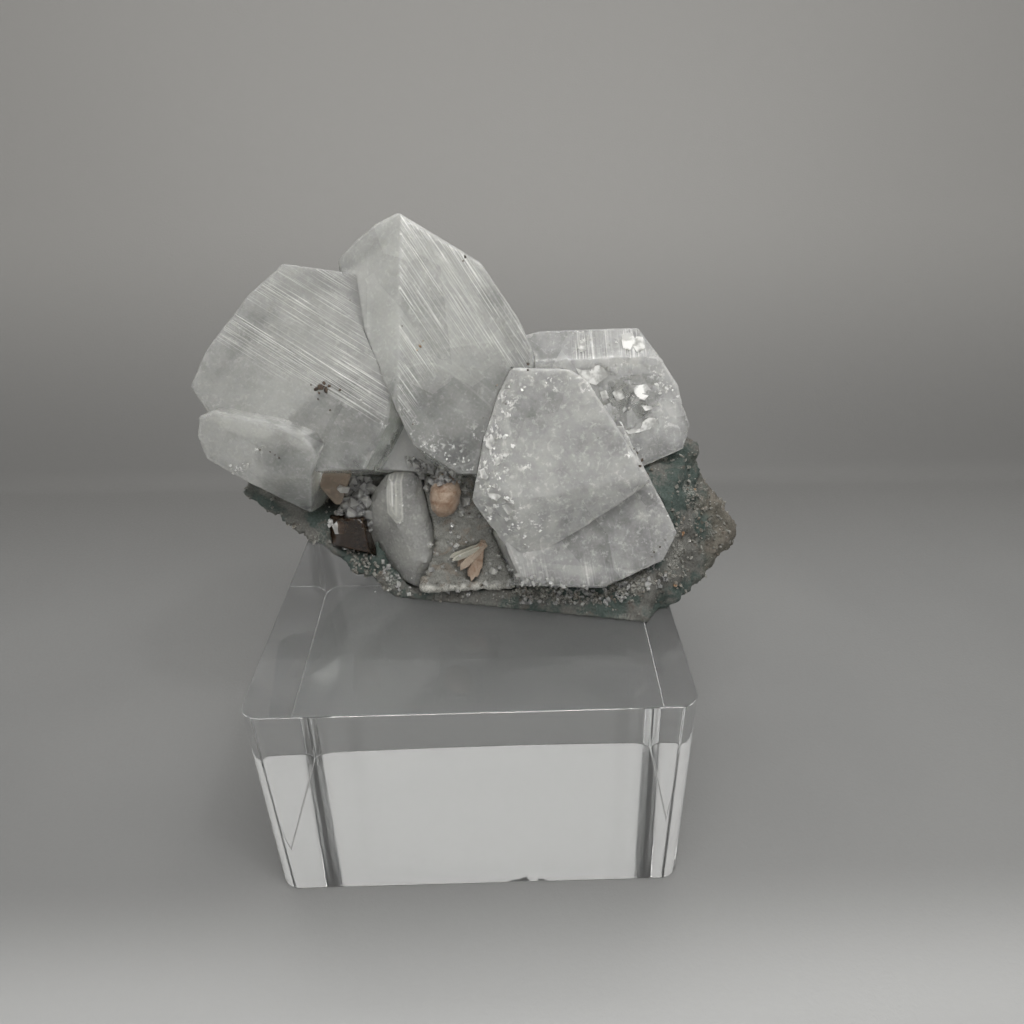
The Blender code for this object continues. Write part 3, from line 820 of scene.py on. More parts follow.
def sweep():
    """Pale floor that rises in a slope behind the object, like a paper sweep.
    It is low enough to leave the object in view from behind too."""
    turn = math.radians(-1.65)
    back = Vector((math.sin(-turn), math.cos(turn), 0))
    across = Vector((math.cos(turn), math.sin(turn), 0))
    start, radius, slope = 0.0835, 0.012, 44
    profile = [(-1.2, 0.0), (-0.3, 0.0), (0.0, 0.0), (start, 0.0)]
    for i in range(1, 11):
        a = math.radians(slope * i / 10)
        profile.append((start + radius * math.sin(a), radius * (1 - math.cos(a))))
    y, z = profile[-1]
    t = math.radians(slope)
    profile.append((y + 0.06 * math.cos(t), z + 0.06 * math.sin(t)))
    profile.append((y + 0.30 * math.cos(t), z + 0.30 * math.sin(t)))
    bm = bmesh.new()
    rows = []
    for y, z in profile:
        rows.append([bm.verts.new(back * y + across * x + Vector((0, 0, z - 0.00004)))
                     for x in (-1.2, -0.3, 0.3, 1.2)])
    for a, b in zip(rows, rows[1:]):
        for i in range(3):
            bm.faces.new((a[i], a[i + 1], b[i + 1], b[i]))
    mesh = bpy.data.meshes.new("floor")
    bm.to_mesh(mesh)
    bm.free()
    mesh.materials.append(floor_material_with_painted_light("floor_look_with_painted_light", (0.285, 0.287, 0.286), (0.305, 0.307, 0.305)))
    mesh.shade_smooth()
    obj = link(bpy.data.objects.new("floor", mesh))


def lamp(name, at, target, size, power, colour=(1, 1, 1)):
    data = bpy.data.lights.new(name, "AREA")
    data.shape = "RECTANGLE"
    data.size, data.size_y = size
    data.energy = power
    data.color = colour
    obj = link(bpy.data.objects.new(name, data))
    obj.location = at
    aim = Vector(target) - Vector(at)
    obj.rotation_euler = aim.to_track_quat("-Z", "Y").to_euler()
    return obj


def sky():
    """Soft studio surround: grey at the level of the table, paler overhead
    and palest high up behind the object."""
    world = bpy.data.worlds.new("room")
    world.use_nodes = True
    tree = world.node_tree
    ground = tree.nodes["Background"]
    co = tree.nodes.new("ShaderNodeTexCoord").outputs["Generated"]
    parts = []
    for aim, low, high, dark, pale in (((0, 0, 1), 0.05, 0.95, 0.12, 0.27),
                                       ((0, 0.66, 0.75), 0.60, 0.98, 0.0, 0.30),
                                       ((-0.42, -0.88, 0.22), 0.25, 0.95, 0.0, 0.42),
                                       ((-0.97, 0.10, 0.22), 0.78, 0.98, 0.0, 0.50),
                                       ((0.97, 0.10, 0.22), 0.78, 0.98, 0.0, 0.40)):
        dot = tree.nodes.new("ShaderNodeVectorMath")
        dot.operation = "DOT_PRODUCT"
        dot.inputs[1].default_value = aim
        tree.links.new(co, dot.inputs[0])
        ramp = tree.nodes.new("ShaderNodeMapRange")
        ramp.interpolation_type = "SMOOTHSTEP"
        for key, val in (("From Min", low), ("From Max", high), ("To Min", dark),
                         ("To Max", pale)):
            ramp.inputs[key].default_value = val
        tree.links.new(dot.outputs["Value"], ramp.inputs["Value"])
        parts.append(ramp.outputs["Result"])
    total = parts[0]
    for part in parts[1:]:
        add = tree.nodes.new("ShaderNodeMath")
        tree.links.new(total, add.inputs[0])
        tree.links.new(part, add.inputs[1])
        total = add.outputs[0]
    ground.inputs[0].default_value = (1.0, 0.986, 0.96, 1)
    tree.links.new(total, ground.inputs[1])
    scene.world = world


sweep()
sky()
lamp("soft_top", (0.035, -0.06, 0.175), (0.0, -0.01, 0.03), (0.11, 0.09), 0.12, (1.0, 0.99, 0.965))
lamp("soft_back", (0.0, 0.125, 0.29), (0.0, 0.19, 0.09), (0.34, 0.05), 0.16, (1.0, 0.985, 0.96))
lamp("spark", (0.10, -0.10, 0.30), (0.0, 0.0, 0.05), (0.022, 0.022), 0.06)
scene.view_settings.view_transform = "Standard"
scene.view_settings.look = "None"
scene.cycles.max_bounces = 8
scene.cycles.transmission_bounces = 8
scene.cycles.glossy_bounces = 4
scene.cycles.diffuse_bounces = 2
scene.cycles.transparent_max_bounces = 4
scene.cycles.volume_bounces = 0
scene.cycles.sample_clamp_indirect = 5.0
scene.cycles.blur_glossy = 0.6
scene.cycles.use_adaptive_sampling = True
scene.cycles.adaptive_threshold = 0.15

# ---------------------------------------------------------------------------
# Display block: polished, with a fine chamfer on every edge
# ---------------------------------------------------------------------------
def block_outline(inset):
    """Rounded rectangle with a point just before and after each corner."""
    hx, hy, r = BLOCK[0] / 2 - inset, BLOCK[1] / 2 - inset, BLOCK_CORNER - inset
    out = []
    for cx, cy, first in ((1, 1, 0), (-1, 1, 90), (-1, -1, 180), (1, -1, 270)):
        centre = Vector((cx * (hx - r), cy * (hy - r)))
        arc = [centre + r * Vector((math.cos(math.radians(first + a)),
                                    math.sin(math.radians(first + a))))
               for a in (i * 90 / 14 for i in range(15))]
        lead = Vector((math.sin(math.radians(first)), -math.cos(math.radians(first))))
        tail = Vector((-math.cos(math.radians(first)), -math.sin(math.radians(first))))
        out += [arc[0] + 0.03 * lead] + arc + [arc[-1] + 0.03 * tail]
    return out


bm = bmesh.new()
CHAMFER = 0.14
height = BLOCK[2]
levels = [(CHAMFER + 0.03, 0.0)]
levels += [(CHAMFER * (1 - math.sin(math.radians(a))), CHAMFER * (1 - math.cos(math.radians(a))))
           for a in (0, 30, 60, 90)]
levels += [(0.0, CHAMFER + 0.03)]
levels += [(inset, height - z) for inset, z in reversed(levels)]
rings = []
for inset, z in levels:
    rings.append([bm.verts.new((q.x, q.y, z)) for q in block_outline(inset)])
for a, b in zip(rings, rings[1:]):
    for i in range(len(a)):
        j = (i + 1) % len(a)
        bm.faces.new((a[i], a[j], b[j], b[i]))
bm.faces.new(list(reversed(rings[0])))
bm.faces.new(rings[-1])
finish_piece("clear_block", bm, acrylic_material(), ["display_block"])

# ---------------------------------------------------------------------------
# Crystals
# ---------------------------------------------------------------------------
def side_of(p, point, normal, soft):
    """1 on the side the normal points to, fading to 0 over soft mm."""
    return smooth(((p - Vector(point)).dot(Vector(normal).normalized())) / soft + 0.5)


def facing(planes, normal):
    """The crystal face that looks most nearly along a direction."""
    return max(planes, key=lambda pl: pl[0].dot(Vector(normal)))


def near(points):
    """How close a place is to any of the given (x, y, z, radius) in mm."""
    spots = [(Vector(q[:3]), q[3]) for q in points]

    def weight(p, ks):
        return max(smooth(1.0 - (p - c).length / r) for c, r in spots)
    return weight


tall_planes = crystal_planes(TALL)
tall_axis = crystal_frame(TALL)[2]


def tall_lines_keep(u, v, p):
    # strong in the upper right, gone in the frosted arch at the foot
    arch = ((p.x - 0.2) / 6.2) ** 2 + ((p.z - 51.0) / 9.6) ** 2
    left = smooth((p.x + 8.6 + (p.z - 60.0) * -0.10) / 1.4 + 0.2)
    return smooth((arch - 0.85) / 0.5) * left


def tall_mask(p, ks):
    edge_glow = 0.10 * smooth((p.z - 66.0) / 8.0)
    return edge_glow


crystal_piece(
    "tall_crystal", [TALL], [RIGHT_FRONT, RIGHT_LOWER],
    crystal_material(
        "tall_look", TALL, milk=0.31, veil=0.13, body=(0.705, 0.712, 0.678), grain=0.04, haze=0.14,
        zones=[(tall_planes[0], [(394, 402), (397, 379), (410, 366), (427, 362), (448, 368),
                                 (466, 384), (490, 402), (496, 432), (470, 464), (441, 470),
                                 (411, 442), (397, 415)], 0.5, -0.06, 0.12),
               (tall_planes[0], [(436, 349), (494, 341), (512, 372), (500, 398), (470, 376)],
                0.15, -0.05, 0.10),
               (tall_planes[0], [(469, 287), (496, 285), (512, 318), (490, 338), (478, 316)],
                0.15, -0.04, 0.08)]),
    ["crystal_tall"], seed=2, wear=0.34,
    touching=[LEFT_UPPER, RIGHT_BACK, LOW_MIDDLE],
    lines=[Lines(tall_planes[0], tall_axis, 60, 5, height=0.035, keep=tall_lines_keep),
           Lines(tall_planes[2], tall_axis, 16, 6, height=0.03),
           Lines(tall_planes[12], tall_axis, 40, 7)],
    masks=[tall_mask],
    frost_and_glint_spots=[near([(-5.6, -1.6, 53.3, 1.6), (-3.6, -1.6, 51.3, 1.8), (-1.4, -1.4, 50.2, 1.6),
                  (1.5, 0.4, 51.5, 1.5), (-6.8, -0.9, 55.2, 1.0)])])

left_planes = crystal_planes(LEFT_UPPER)
left_axis = crystal_frame(LEFT_UPPER)[2]
lower_planes = crystal_planes(LEFT_LOWER)


def left_lines_keep(u, v, p):
    # down to a line from the left end to the lower right
    limit = 60.2 + (p.x + 27.0) * -0.40 + 0.8 * noise.noise(p * 0.3)
    return smooth((p.z - limit) / 1.2)


def left_mask(p, ks):
    below = smooth((60.0 - 0.335 * (p.x + 27.0) - p.z) / 2.0)
    foot = smooth((47.5 - p.z) / 4.0) * smooth((-14.0 - p.x) / 3.0)
    return -0.04 * below - 0.10 * foot


crystal_piece(
    "left_crystal_pair", [LEFT_UPPER, LEFT_LOWER], [TALL],
    crystal_material(
        "left_look", LEFT_UPPER, milk=0.31, veil=0.12, body=(0.645, 0.645, 0.612), ruling=(3.4, 8.0),
        grain=0.04, haze=0.12, rim=0.6,
        zones=[(left_planes[0], [(337, 402), (392, 417), (364, 473), (344, 470), (313, 452)],
                0.4, -0.10, 0.05),
               (left_planes[0], [(392, 417), (424, 463), (421, 469), (377, 476), (364, 473)],
                0.2, -0.15, 0.08),
               (lower_planes[0], [(197, 416), (254, 422), (300, 443), (318, 458), (296, 462),
                                  (250, 438), (200, 429)], 0.6, 0.09, 0.05)]),
    ["crystal_left_pair"], seed=3, wear=0.30, touching=[LOW_MIDDLE, LOW_LEFT],
    lines=[Lines(left_planes[0], left_axis, 70, 15, height=0.04, keep=left_lines_keep),
           Lines(left_planes[10], left_axis, 40, 16)],
    masks=[left_mask],
    frost_and_glint_spots=[near([(-26.8, -1.2, 48.8, 1.0), (-23.9, -1.1, 51.2, 0.9), (-9.1, -0.7, 53.7, 0.9)])])

right_planes = crystal_planes(RIGHT_FRONT)
low_right_planes = crystal_planes(RIGHT_LOWER)


SMUDGE = on_plane(537, 424, right_planes[0])
SUGARY = [on_plane(u, v, right_planes[0]) for u, v in
          ((497, 392), (488, 418), (482, 444), (477, 472), (484, 497), (497, 520), (510, 540))]
sugar_rng = random.Random(21)
SUGAR = []
for _ in range(90):
    at = sugar_rng.choice(SUGARY) + Vector([sugar_rng.gauss(0, 1.3) for _ in range(3)])
    SUGAR.append((at, Vector([sugar_rng.gauss(0, 1) for _ in range(3)]).normalized(),
                  sugar_rng.uniform(-0.10, 0.12)))


def right_broken(p):
    """Small stepped chips along the left edge."""
    share = smooth(1.25 - min((p - c).length for c in SUGARY) / 2.2)
    if share <= 0.0:
        return 0.0
    at, tilt, rise = min(SUGAR, key=lambda c: (c[0] - p).length_squared)
    return share * max(-0.28, min(0.16, rise - 0.08 + 0.30 * (p - at).dot(tilt)))


def right_mask(p, ks):
    # clearer toward the foot of the lower crystal, and mottled all over
    foot = smooth((37.5 - p.z) / 5.0)
    return (0.07 * smooth(0.5 + 1.6 * noise.noise(p * 0.28 + Vector((4, 2, 9)))) - 0.035
            - 0.12 * smooth(1.0 - (p - SMUDGE).length / 2.2)
            + 0.09 * noise.noise(p * 0.75 + Vector((3, 1, 6)))
            + 0.06 * noise.noise(p * 1.6 + Vector((8, 5, 1))) - 0.30 * foot)


# fine scratches that cross the lower front of the lower crystal
hatch_way = on_plane(600, 545, low_right_planes[0]) - on_plane(560, 592, low_right_planes[0])


def hatch_keep(u, v, p):
    foot = smooth((39.5 - p.z) / 4.0) * smooth((22.0 - p.x) / 5.0)
    return foot * (0.34 + 0.30 * noise.noise(p * 0.8))


crystal_piece(
    "front_right_crystal", [RIGHT_FRONT, RIGHT_LOWER], [],
    crystal_material(
        "front_right_look", RIGHT_FRONT, milk=0.39, veil=0.12, grain=0.04, veins=0.08,
        scatter=0.0014, body=(0.87, 0.86, 0.825), haze=0.24, ruling=(2.6, 6.5),
        zones=[(low_right_planes[0], [(500, 560), (527, 562), (642, 489), (684, 526), (668, 578),
                                      (600, 606), (500, 606)], 0.10, -0.09, 0.0)]),
    ["crystal_front_right"], seed=4, relief=0.06, wear=0.30, sharp=22,
    cloud=0.11, broken=right_broken, touching=[TALL, RIGHT_BACK, RIGHT_BACK_LOWER],
    lines=[Lines(low_right_planes[0], hatch_way, 46, 31, height=0.03, width=0.06,
                 keep=hatch_keep, length=(0.6, 2.2))],
    masks=[right_mask],
    # frosted, sugary places, whose white flecks are partly painted glints
    frost_and_glint_spots=[near([(4.8, -0.7, 55.9, 2.0), (2.9, -1.3, 52.5, 2.4), (3.0, -3.3, 49.1, 3.0),
                  (3.3, -4.8, 45.5, 2.8), (5.0, -5.5, 44.6, 2.2), (8.2, -5.4, 42.8, 1.8),
                  (1.5, -2.0, 47.0, 2.5), (10.0, -1.2, 57.6, 1.2), (14.0, -0.5, 57.3, 1.0),
                  (18.6, -3.6, 50.3, 0.8), (7.0, -4.5, 50.0, 1.6)])])

back_planes = crystal_planes(RIGHT_BACK)
back_low_planes = crystal_planes(RIGHT_BACK_LOWER)
back_axis = crystal_frame(RIGHT_BACK)[2]
back_front = facing(back_planes, (0.07, -0.95, 0.31))
back_pale = facing(back_low_planes, (0.24, -0.87, 0.42))


def back_lines_keep(u, v, p):
    # three bright bundles and plain glass between them
    return max(smooth(1.6 - abs(p.x - c) / w) for c, w in ((14.6, 1.3), (17.4, 0.7), (20.6, 1.5)))


chip_rng = random.Random(12)
CHIPS = []
for _ in range(34):
    at = on_plane(chip_rng.uniform(575, 672), chip_rng.uniform(352, 440), back_front)
    CHIPS.append((at, Vector([chip_rng.gauss(0, 1) for _ in range(3)]).normalized(),
                  chip_rng.uniform(-0.12, 0.22)))
CHIPPED = on_plane(625, 393, back_front)


def back_broken(p):
    """Flat chips and steps, each with a tilt of its own, inside the clear part."""
    share = smooth(1.45 - (p - CHIPPED).length / 5.0)
    if share <= 0.0:
        return 0.0
    at, tilt, rise = min(CHIPS, key=lambda c: (c[0] - p).length_squared)
    return share * max(-0.9, min(0.45, rise - 0.2 + 0.55 * (p - at).dot(tilt)))


crystal_piece(
    "back_right_crystal", [RIGHT_BACK, RIGHT_BACK_LOWER], [TALL, RIGHT_FRONT, RIGHT_LOWER],
    crystal_material(
        "back_right_look", RIGHT_BACK, milk=0.32, veil=0.18, rough=0.03, haze=0.16, veins=0.14,
        ruling=(2.2, 5.5), body=(0.88, 0.872, 0.845), wobble=0.8,
        zones=[(back_front, [(575, 357), (640, 356), (641, 366), (575, 370)], 0.5, 0.15, 0.04),
               (back_front, [(588, 384), (640, 372), (662, 400), (640, 424), (596, 420)],
                1.2, -0.10, 0.0),
               (back_front, [(608, 380), (628, 376), (634, 398), (620, 412), (606, 400)],
                0.20, -0.18, 0.10),
               (back_front, [(640, 372), (658, 374), (660, 384), (648, 386)],
                0.20, -0.16, 0.08),
               (back_front, [(626, 402), (644, 400), (652, 412), (636, 420)],
                0.20, -0.18, 0.10),
               (back_pale, [(652, 402), (676, 402), (690, 440), (668, 455), (655, 440)],
                0.8, 0.12, 0.03)]),
    ["crystal_back_right"], seed=5, wear=0.30, cloud=0.14, step=0.30,
    sharp=16, broken=back_broken, touching=[TALL],
    lines=[Lines(back_planes[0], back_axis, 60, 25, height=0.08, width=0.10,
                 keep=back_lines_keep)],
    frost_and_glint_spots=[near([(23.5, 9.0, 55.5, 1.3), (24.6, 8.6, 53.7, 1.3), (19.6, 9.4, 56.5, 0.9),
                  (21.6, 4.6, 47.2, 1.0), (25.0, 6.0, 50.0, 1.2)])])

mid_planes = crystal_planes(LOW_MIDDLE)
crystal_piece(
    "low_middle_crystal", [LOW_MIDDLE], [LEFT_UPPER, LEFT_LOWER, TALL],
    crystal_material("low_middle_look", LOW_MIDDLE, milk=0.48, veil=0.12,
                     body=(0.72, 0.73, 0.695)),
    ["crystal_low_middle"], seed=6, step=0.4, wear=0.22, touching=[LOW_LEFT])

low_planes = crystal_planes(LOW_LEFT)
low_axis = crystal_frame(LOW_LEFT)[2]
low_strip = low_planes[1]
crystal_piece(
    "low_left_crystal", [LOW_LEFT], [LOW_MIDDLE, LEFT_UPPER, TALL],
    crystal_material(
        "low_left_look", LOW_LEFT, milk=0.46, veil=0.10, body=(0.66, 0.66, 0.615), haze=0.20,
        grain=0.06, rim=0.25,
        zones=[(low_strip, [(387, 472), (400, 472), (402, 520), (396, 524), (387, 514)],
                0.15, 0.22, 0.55),
               (low_strip, [(391, 474), (395, 474), (396, 516), (392, 512)], 0.10, -0.16, 0.55)]),
    ["crystal_low_left"], seed=7, step=0.35, wear=1.1, cloud=0.18, relief=0.09,
    touching=[LEFT_UPPER, BROWN_UPPER, BROWN_LOWER],
    lines=[Lines(low_planes[1], low_axis, 14, 27, height=0.05, width=0.08, length=(5, 14))])

BROWNISH = dict(scatter=0.0008, rough=0.02, haze=0.20)
crystal_piece(
    "upper_brown_crystal", [BROWN_UPPER], [LEFT_UPPER, LEFT_LOWER, LOW_LEFT, LOW_MIDDLE],
    crystal_material("upper_brown_look", BROWN_UPPER, milk=0.40, tint=(0.85, 0.72, 0.58),
                     body=(0.42, 0.315, 0.225), absorb=((0.62, 0.44, 0.28), 160.0),
                     bright_line=(0.74, 0.70, 0.63), **BROWNISH),
    ["brown_crystal_upper"], seed=8, step=0.35, wear=0.26)
crystal_piece(
    "lower_brown_crystal", [BROWN_LOWER], [LEFT_UPPER, LEFT_LOWER, LOW_LEFT, BROWN_UPPER],
    crystal_material("lower_brown_look", BROWN_LOWER, milk=0.14, tint=(0.17, 0.10, 0.055),
                     body=(0.055, 0.028, 0.016), absorb=((0.40, 0.22, 0.11), 900.0),
                     bright_line=(0.20, 0.12, 0.075), **BROWNISH),
    ["brown_crystal_lower"], seed=9, step=0.30, wear=0.12, relief=0.12,
    sharp=14)


# ---------------------------------------------------------------------------
# Rock, crust and stilbites: the CAD shapes, made fine and rough
# ---------------------------------------------------------------------------
def remeshed(node, voxel):
    """The CAD node's shape as an even fine mesh, in millimetres."""
    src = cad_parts[node]
    obj = link(bpy.data.objects.new("work_" + node, src.data.copy()))
    mod = obj.modifiers.new("even", "REMESH")
    mod.mode = "VOXEL"
    mod.voxel_size = voxel * MM
    mod.adaptivity = 0.0
    graph = bpy.context.evaluated_depsgraph_get()
    mesh = bpy.data.meshes.new_from_object(obj.evaluated_get(graph))
    bpy.data.objects.remove(obj)
    bm = bmesh.new()
    bm.from_mesh(mesh)
    bpy.data.meshes.remove(mesh)
    keep_largest(bm)
    bmesh.ops.scale(bm, vec=Vector((1 / MM,) * 3), verts=bm.verts)
    bm.normal_update()
    return bm


def ridged(p):
    return 1.0 - 2.0 * abs(noise.noise(p))


bm = remeshed("basalt_matrix", 0.34)
a_tan = bm.verts.layers.float.new("tan")
a_painted_hollow_shade = bm.verts.layers.float.new("painted_hollow_shade")
a_pale = bm.verts.layers.float.new("pale")
HOLLOW = Vector((-18.3, 2.6, 42.2))
for v in bm.verts:
    p = v.co.copy()
    steps = noise.noise(p * 0.62 + Vector((9, 4, 2)))
    steps = (round(steps * 5.0) / 5.0) * 0.5 + steps * 0.5      # broken, stepped surface
    d = (0.40 * noise.noise(p * 0.42) + 0.50 * steps
         + 0.22 * ridged(p * 1.7) + 0.16 * noise.noise(p * 3.1) + 0.08 * noise.noise(p * 6.5))
    fade = smooth((p.z - 29.0) / 1.2)
    v.co += v.normal * (0.12 + d * (0.8 + 0.6 * smooth((p.x - 25.0) / 5.0))) * fade
    v[a_tan] = smooth((p.x - 28.5) / 4.0 + 0.7 * noise.noise(p * 0.4)) * 0.7
    v[a_pale] = smooth(2.2 * noise.noise(p * 0.33 + Vector((5, 5, 1))) - 0.25)
    # the cavity: dented in, and painted near-black as shade
    deep = smooth(1.0 - ((p - HOLLOW).length - 1.4) / 1.4)
    if deep > 0:
        v.co += Vector((0.1, 1.0, -0.1)) * 1.9 * deep
        v[a_painted_hollow_shade] = deep
rock_faces = [(f.calc_center_median(), f.normal.copy()) for f in bm.faces]
finish_piece("basalt", bm, rock_material(), ["basalt_matrix"])

bm = remeshed("druse_crust", 0.22)
a_pale = bm.verts.layers.float.new("pale")
for v in bm.verts:
    p = v.co.copy()
    d = 0.26 * noise.noise(p * 0.6) + 0.16 * ridged(p * 1.1) + 0.03 * noise.noise(p * 3.0)
    # the thin pale lip along the front edge, which stands out a little
    v[a_pale] = smooth((32.35 - p.z + 0.4 * noise.noise(p * 0.8)) / 0.5) * smooth(-p.y - 0.6)
    v.co += v.normal * (0.12 + d + 0.18 * v[a_pale])
finish_piece("crust", bm, druse_material("crust_look", (0.235, 0.235, 0.215),
                                         (0.38, 0.38, 0.35), 0.16, 0.00003),
             ["druse_crust"])

STILBITE = stilbite_material()
bm = remeshed("stilbite_ball", 0.15)
mid = Vector((-2.9, 0.4, 43.6))
for v in bm.verts:
    p = v.co.copy()
    q = p - mid
    ridge = abs(noise.noise(Vector((q.x * 2.6, q.y * 2.6, q.z * 0.5)))) * 0.16
    v.co += v.normal * (0.10 + ridge + 0.10 * noise.noise(p * 1.3) + 0.05 * noise.noise(p * 4))
finish_piece("stilbite_ball_fine", bm, STILBITE, ["stilbite_ball"])


def prism(bm, at, axis, half_a, half_b, length, spin, shoulder=0.6, root=0.3, blunt=0.15):
    """One small crystal: a square prism that ends in a low pyramid."""
    z = Vector(axis).normalized()
    x = z.orthogonal().normalized()
    x.rotate(Quaternion(z, spin))
    y = z.cross(x)
    rings = []
    for h, k in ((-root, 1.0), (shoulder, 1.0), (1.0, blunt)):
        rings.append([bm.verts.new(at + z * h * length + x * half_a * k * sx + y * half_b * k * sy)
                      for sx, sy in ((-1, -1), (1, -1), (1, 1), (-1, 1))])
    for lo, hi in zip(rings, rings[1:]):
        for i in range(4):
            j = (i + 1) % 4
            bm.faces.new((lo[i], lo[j], hi[j], hi[i]))
    bm.faces.new(list(reversed(rings[0])))
    bm.faces.new(rings[-1])


def blade(bm, at, axis, across, length, width, thick, rng):
    """One stilbite blade: thin, with a shallow gable at its end."""
    z = Vector(axis).normalized()
    x = (Vector(across) - z * z.dot(Vector(across))).normalized()
    y = z.cross(x)
    w, t = width / 2, thick / 2
    peak = rng.uniform(-0.4, 0.4)
    outline = [(-0.62 * w, -0.15 * length), (0.62 * w, -0.15 * length), (w, 0.35 * length),
               (0.95 * w, 0.86 * length), (peak * w, length), (-0.95 * w, 0.82 * length),
               (-w, 0.35 * length)]
    front = [bm.verts.new(at + x * u + z * h - y * t) for u, h in outline]
    rear = [bm.verts.new(at + x * u + z * h + y * t) for u, h in outline]
    bm.faces.new(list(reversed(front)))
    bm.faces.new(rear)
    for i in range(len(front)):
        j = (i + 1) % len(front)
        bm.faces.new((front[i], front[j], rear[j], rear[i]))


# the sheaf: blades fanned out from one foot
rng = random.Random(41)
bm = bmesh.new()
a_pale = bm.verts.layers.float.new("pale")
SHEAF = Vector((1.35, -1.1, 36.9))
for angle, long, wide, thick, pale in (
        (128, 4.2, 1.05, 0.42, 0.25), (133, 3.7, 0.85, 0.36, 0.15), (123, 3.0, 0.55, 0.30, 0.35),
        (152, 4.0, 0.80, 0.42, 0.10), (159, 4.6, 0.95, 0.40, 0.05), (166, 4.3, 0.75, 0.38, 0.0),
        (173, 3.3, 0.55, 0.30, 0.0), (146, 2.7, 0.45, 0.26, 0.2),
        (104, 4.3, 0.62, 0.34, 1.0), (110, 2.9, 0.40, 0.26, 0.9)):
    for k in range(2):
        a = math.radians(angle + rng.uniform(-1.5, 1.5))
        lean = math.radians(14 + 5 * k + rng.uniform(-1, 1))
        axis = Vector((-math.sin(a) * math.cos(lean), -math.sin(lean),
                       math.cos(a) * math.cos(lean)))
        foot = SHEAF + Vector((rng.uniform(-0.1, 0.1), 0.35 - 0.50 * k, rng.uniform(-0.1, 0.1)))
        before = len(bm.verts)
        blade(bm, foot, axis, (math.cos(a), 0.25 * rng.uniform(-1, 1), math.sin(a)),
              long * rng.uniform(0.90, 1.0), wide * rng.uniform(0.8, 1.0), thick, rng)
        bm.verts.ensure_lookup_table()
        for v in bm.verts[before:]:
            v[a_pale] = pale
bmesh.ops.subdivide_edges(bm, edges=bm.edges[:], cuts=2, use_grid_fill=True)
for v in bm.verts:
    v.co += Vector((noise.noise(v.co * 2.1), noise.noise(v.co * 2.3 + Vector((7, 0, 0))),
                    noise.noise(v.co * 1.9 + Vector((0, 9, 0))))) * 0.05
finish_piece("stilbite_sheaf_fine", bm, STILBITE, ["stilbite_sheaf"], smooth=False)

# ---------------------------------------------------------------------------
# Crust of small crystals, seeded where the photo shows it and thinly elsewhere
# ---------------------------------------------------------------------------
ROCKY = ("basalt", "crust")


def within(u, v, poly):
    inside = False
    for (x0, y0), (x1, y1) in zip(poly, poly[1:] + poly[:1]):
        if (y0 > v) != (y1 > v) and u < (x1 - x0) * (v - y0) / (y1 - y0) + x0:
            inside = not inside
    return inside


def sow(bm, poly, count, small, large, rng, names, lean=0.55, stretch=1.25, sink=0.0):
    """Small crystals on what the camera sees inside an outline in pixels."""
    us, vs = [q[0] for q in poly], [q[1] for q in poly]
    placed = tries = 0
    while placed < count and tries < count * 12:
        tries += 1
        u, v = rng.uniform(min(us), max(us)), rng.uniform(min(vs), max(vs))
        if not within(u, v, poly):
            continue
        found = hit(u, v)
        if not found or found[2] not in names:
            continue
        at, n, _ = found
        size = small + (large - small) * rng.random() ** 2
        tilt = Vector([rng.gauss(0, lean) for _ in range(3)])
        prism(bm, at - n * sink * size, n + tilt, size * rng.uniform(0.4, 0.6),
              size * rng.uniform(0.35, 0.6), size * stretch, rng.uniform(0, 1.6),
              rng.uniform(0.35, 0.7), 0.45, rng.uniform(0.05, 0.5))
        placed += 1


def scatter(bm, faces, count, small, large, rng, keep):
    placed = 0
    while placed < count:
        at, n = faces[rng.randrange(len(faces))]
        if rng.random() > keep(at, n):
            continue
        size = small + (large - small) * rng.random() ** 2
        tilt = Vector([rng.gauss(0, 0.5) for _ in range(3)])
        prism(bm, at, n + tilt, size * rng.uniform(0.4, 0.6), size * rng.uniform(0.35, 0.6),
              size * 1.2, rng.uniform(0, 1.6), rng.uniform(0.35, 0.7), 0.45,
              rng.uniform(0.05, 0.5))
        placed += 1


rng = random.Random(77)
bm = bmesh.new()
sow(bm, [(426, 484), (470, 474), (482, 500), (505, 560), (540, 590), (500, 598), (402, 600),
         (418, 560), (430, 520)], 24, 0.10, 0.28, rng, ROCKY)
sow(bm, [(398, 592), (430, 584), (470, 580), (493, 586), (546, 587), (548, 600), (490, 601),
         (400, 606)], 60, 0.12, 0.30, rng, ROCKY)
sow(bm, [(505, 560), (530, 588), (600, 592), (645, 572), (650, 590), (600, 604), (520, 600)],
    160, 0.18, 0.45, rng, ROCKY)
sow(bm, [(256, 506), (300, 530), (350, 566), (398, 600), (392, 610), (340, 578), (290, 545),
         (250, 515)], 150, 0.16, 0.40, rng, ROCKY)
sow(bm, [(345, 540), (372, 556), (388, 585), (402, 596), (380, 590), (350, 566)], 70, 0.18, 0.45,
    rng, ROCKY)
sow(bm, [(676, 470), (700, 480), (731, 526), (722, 552), (692, 570), (668, 600), (660, 540)],
    170, 0.14, 0.34, rng, ROCKY)


def patchy(at, n):
    if at.z < 30.2:
        return 0.0
    return 1.0 if noise.noise(at * 0.3 + Vector((2, 8, 3))) > 0.12 else 0.06


scatter(bm, rock_faces, 1500, 0.12, 0.40, rng, patchy)
finish_piece("druse_crystals", bm, druse_material(
    "druse_crystal_look", (0.15, 0.145, 0.125), (0.50, 0.495, 0.455), 0.12), [],
    smooth=False)

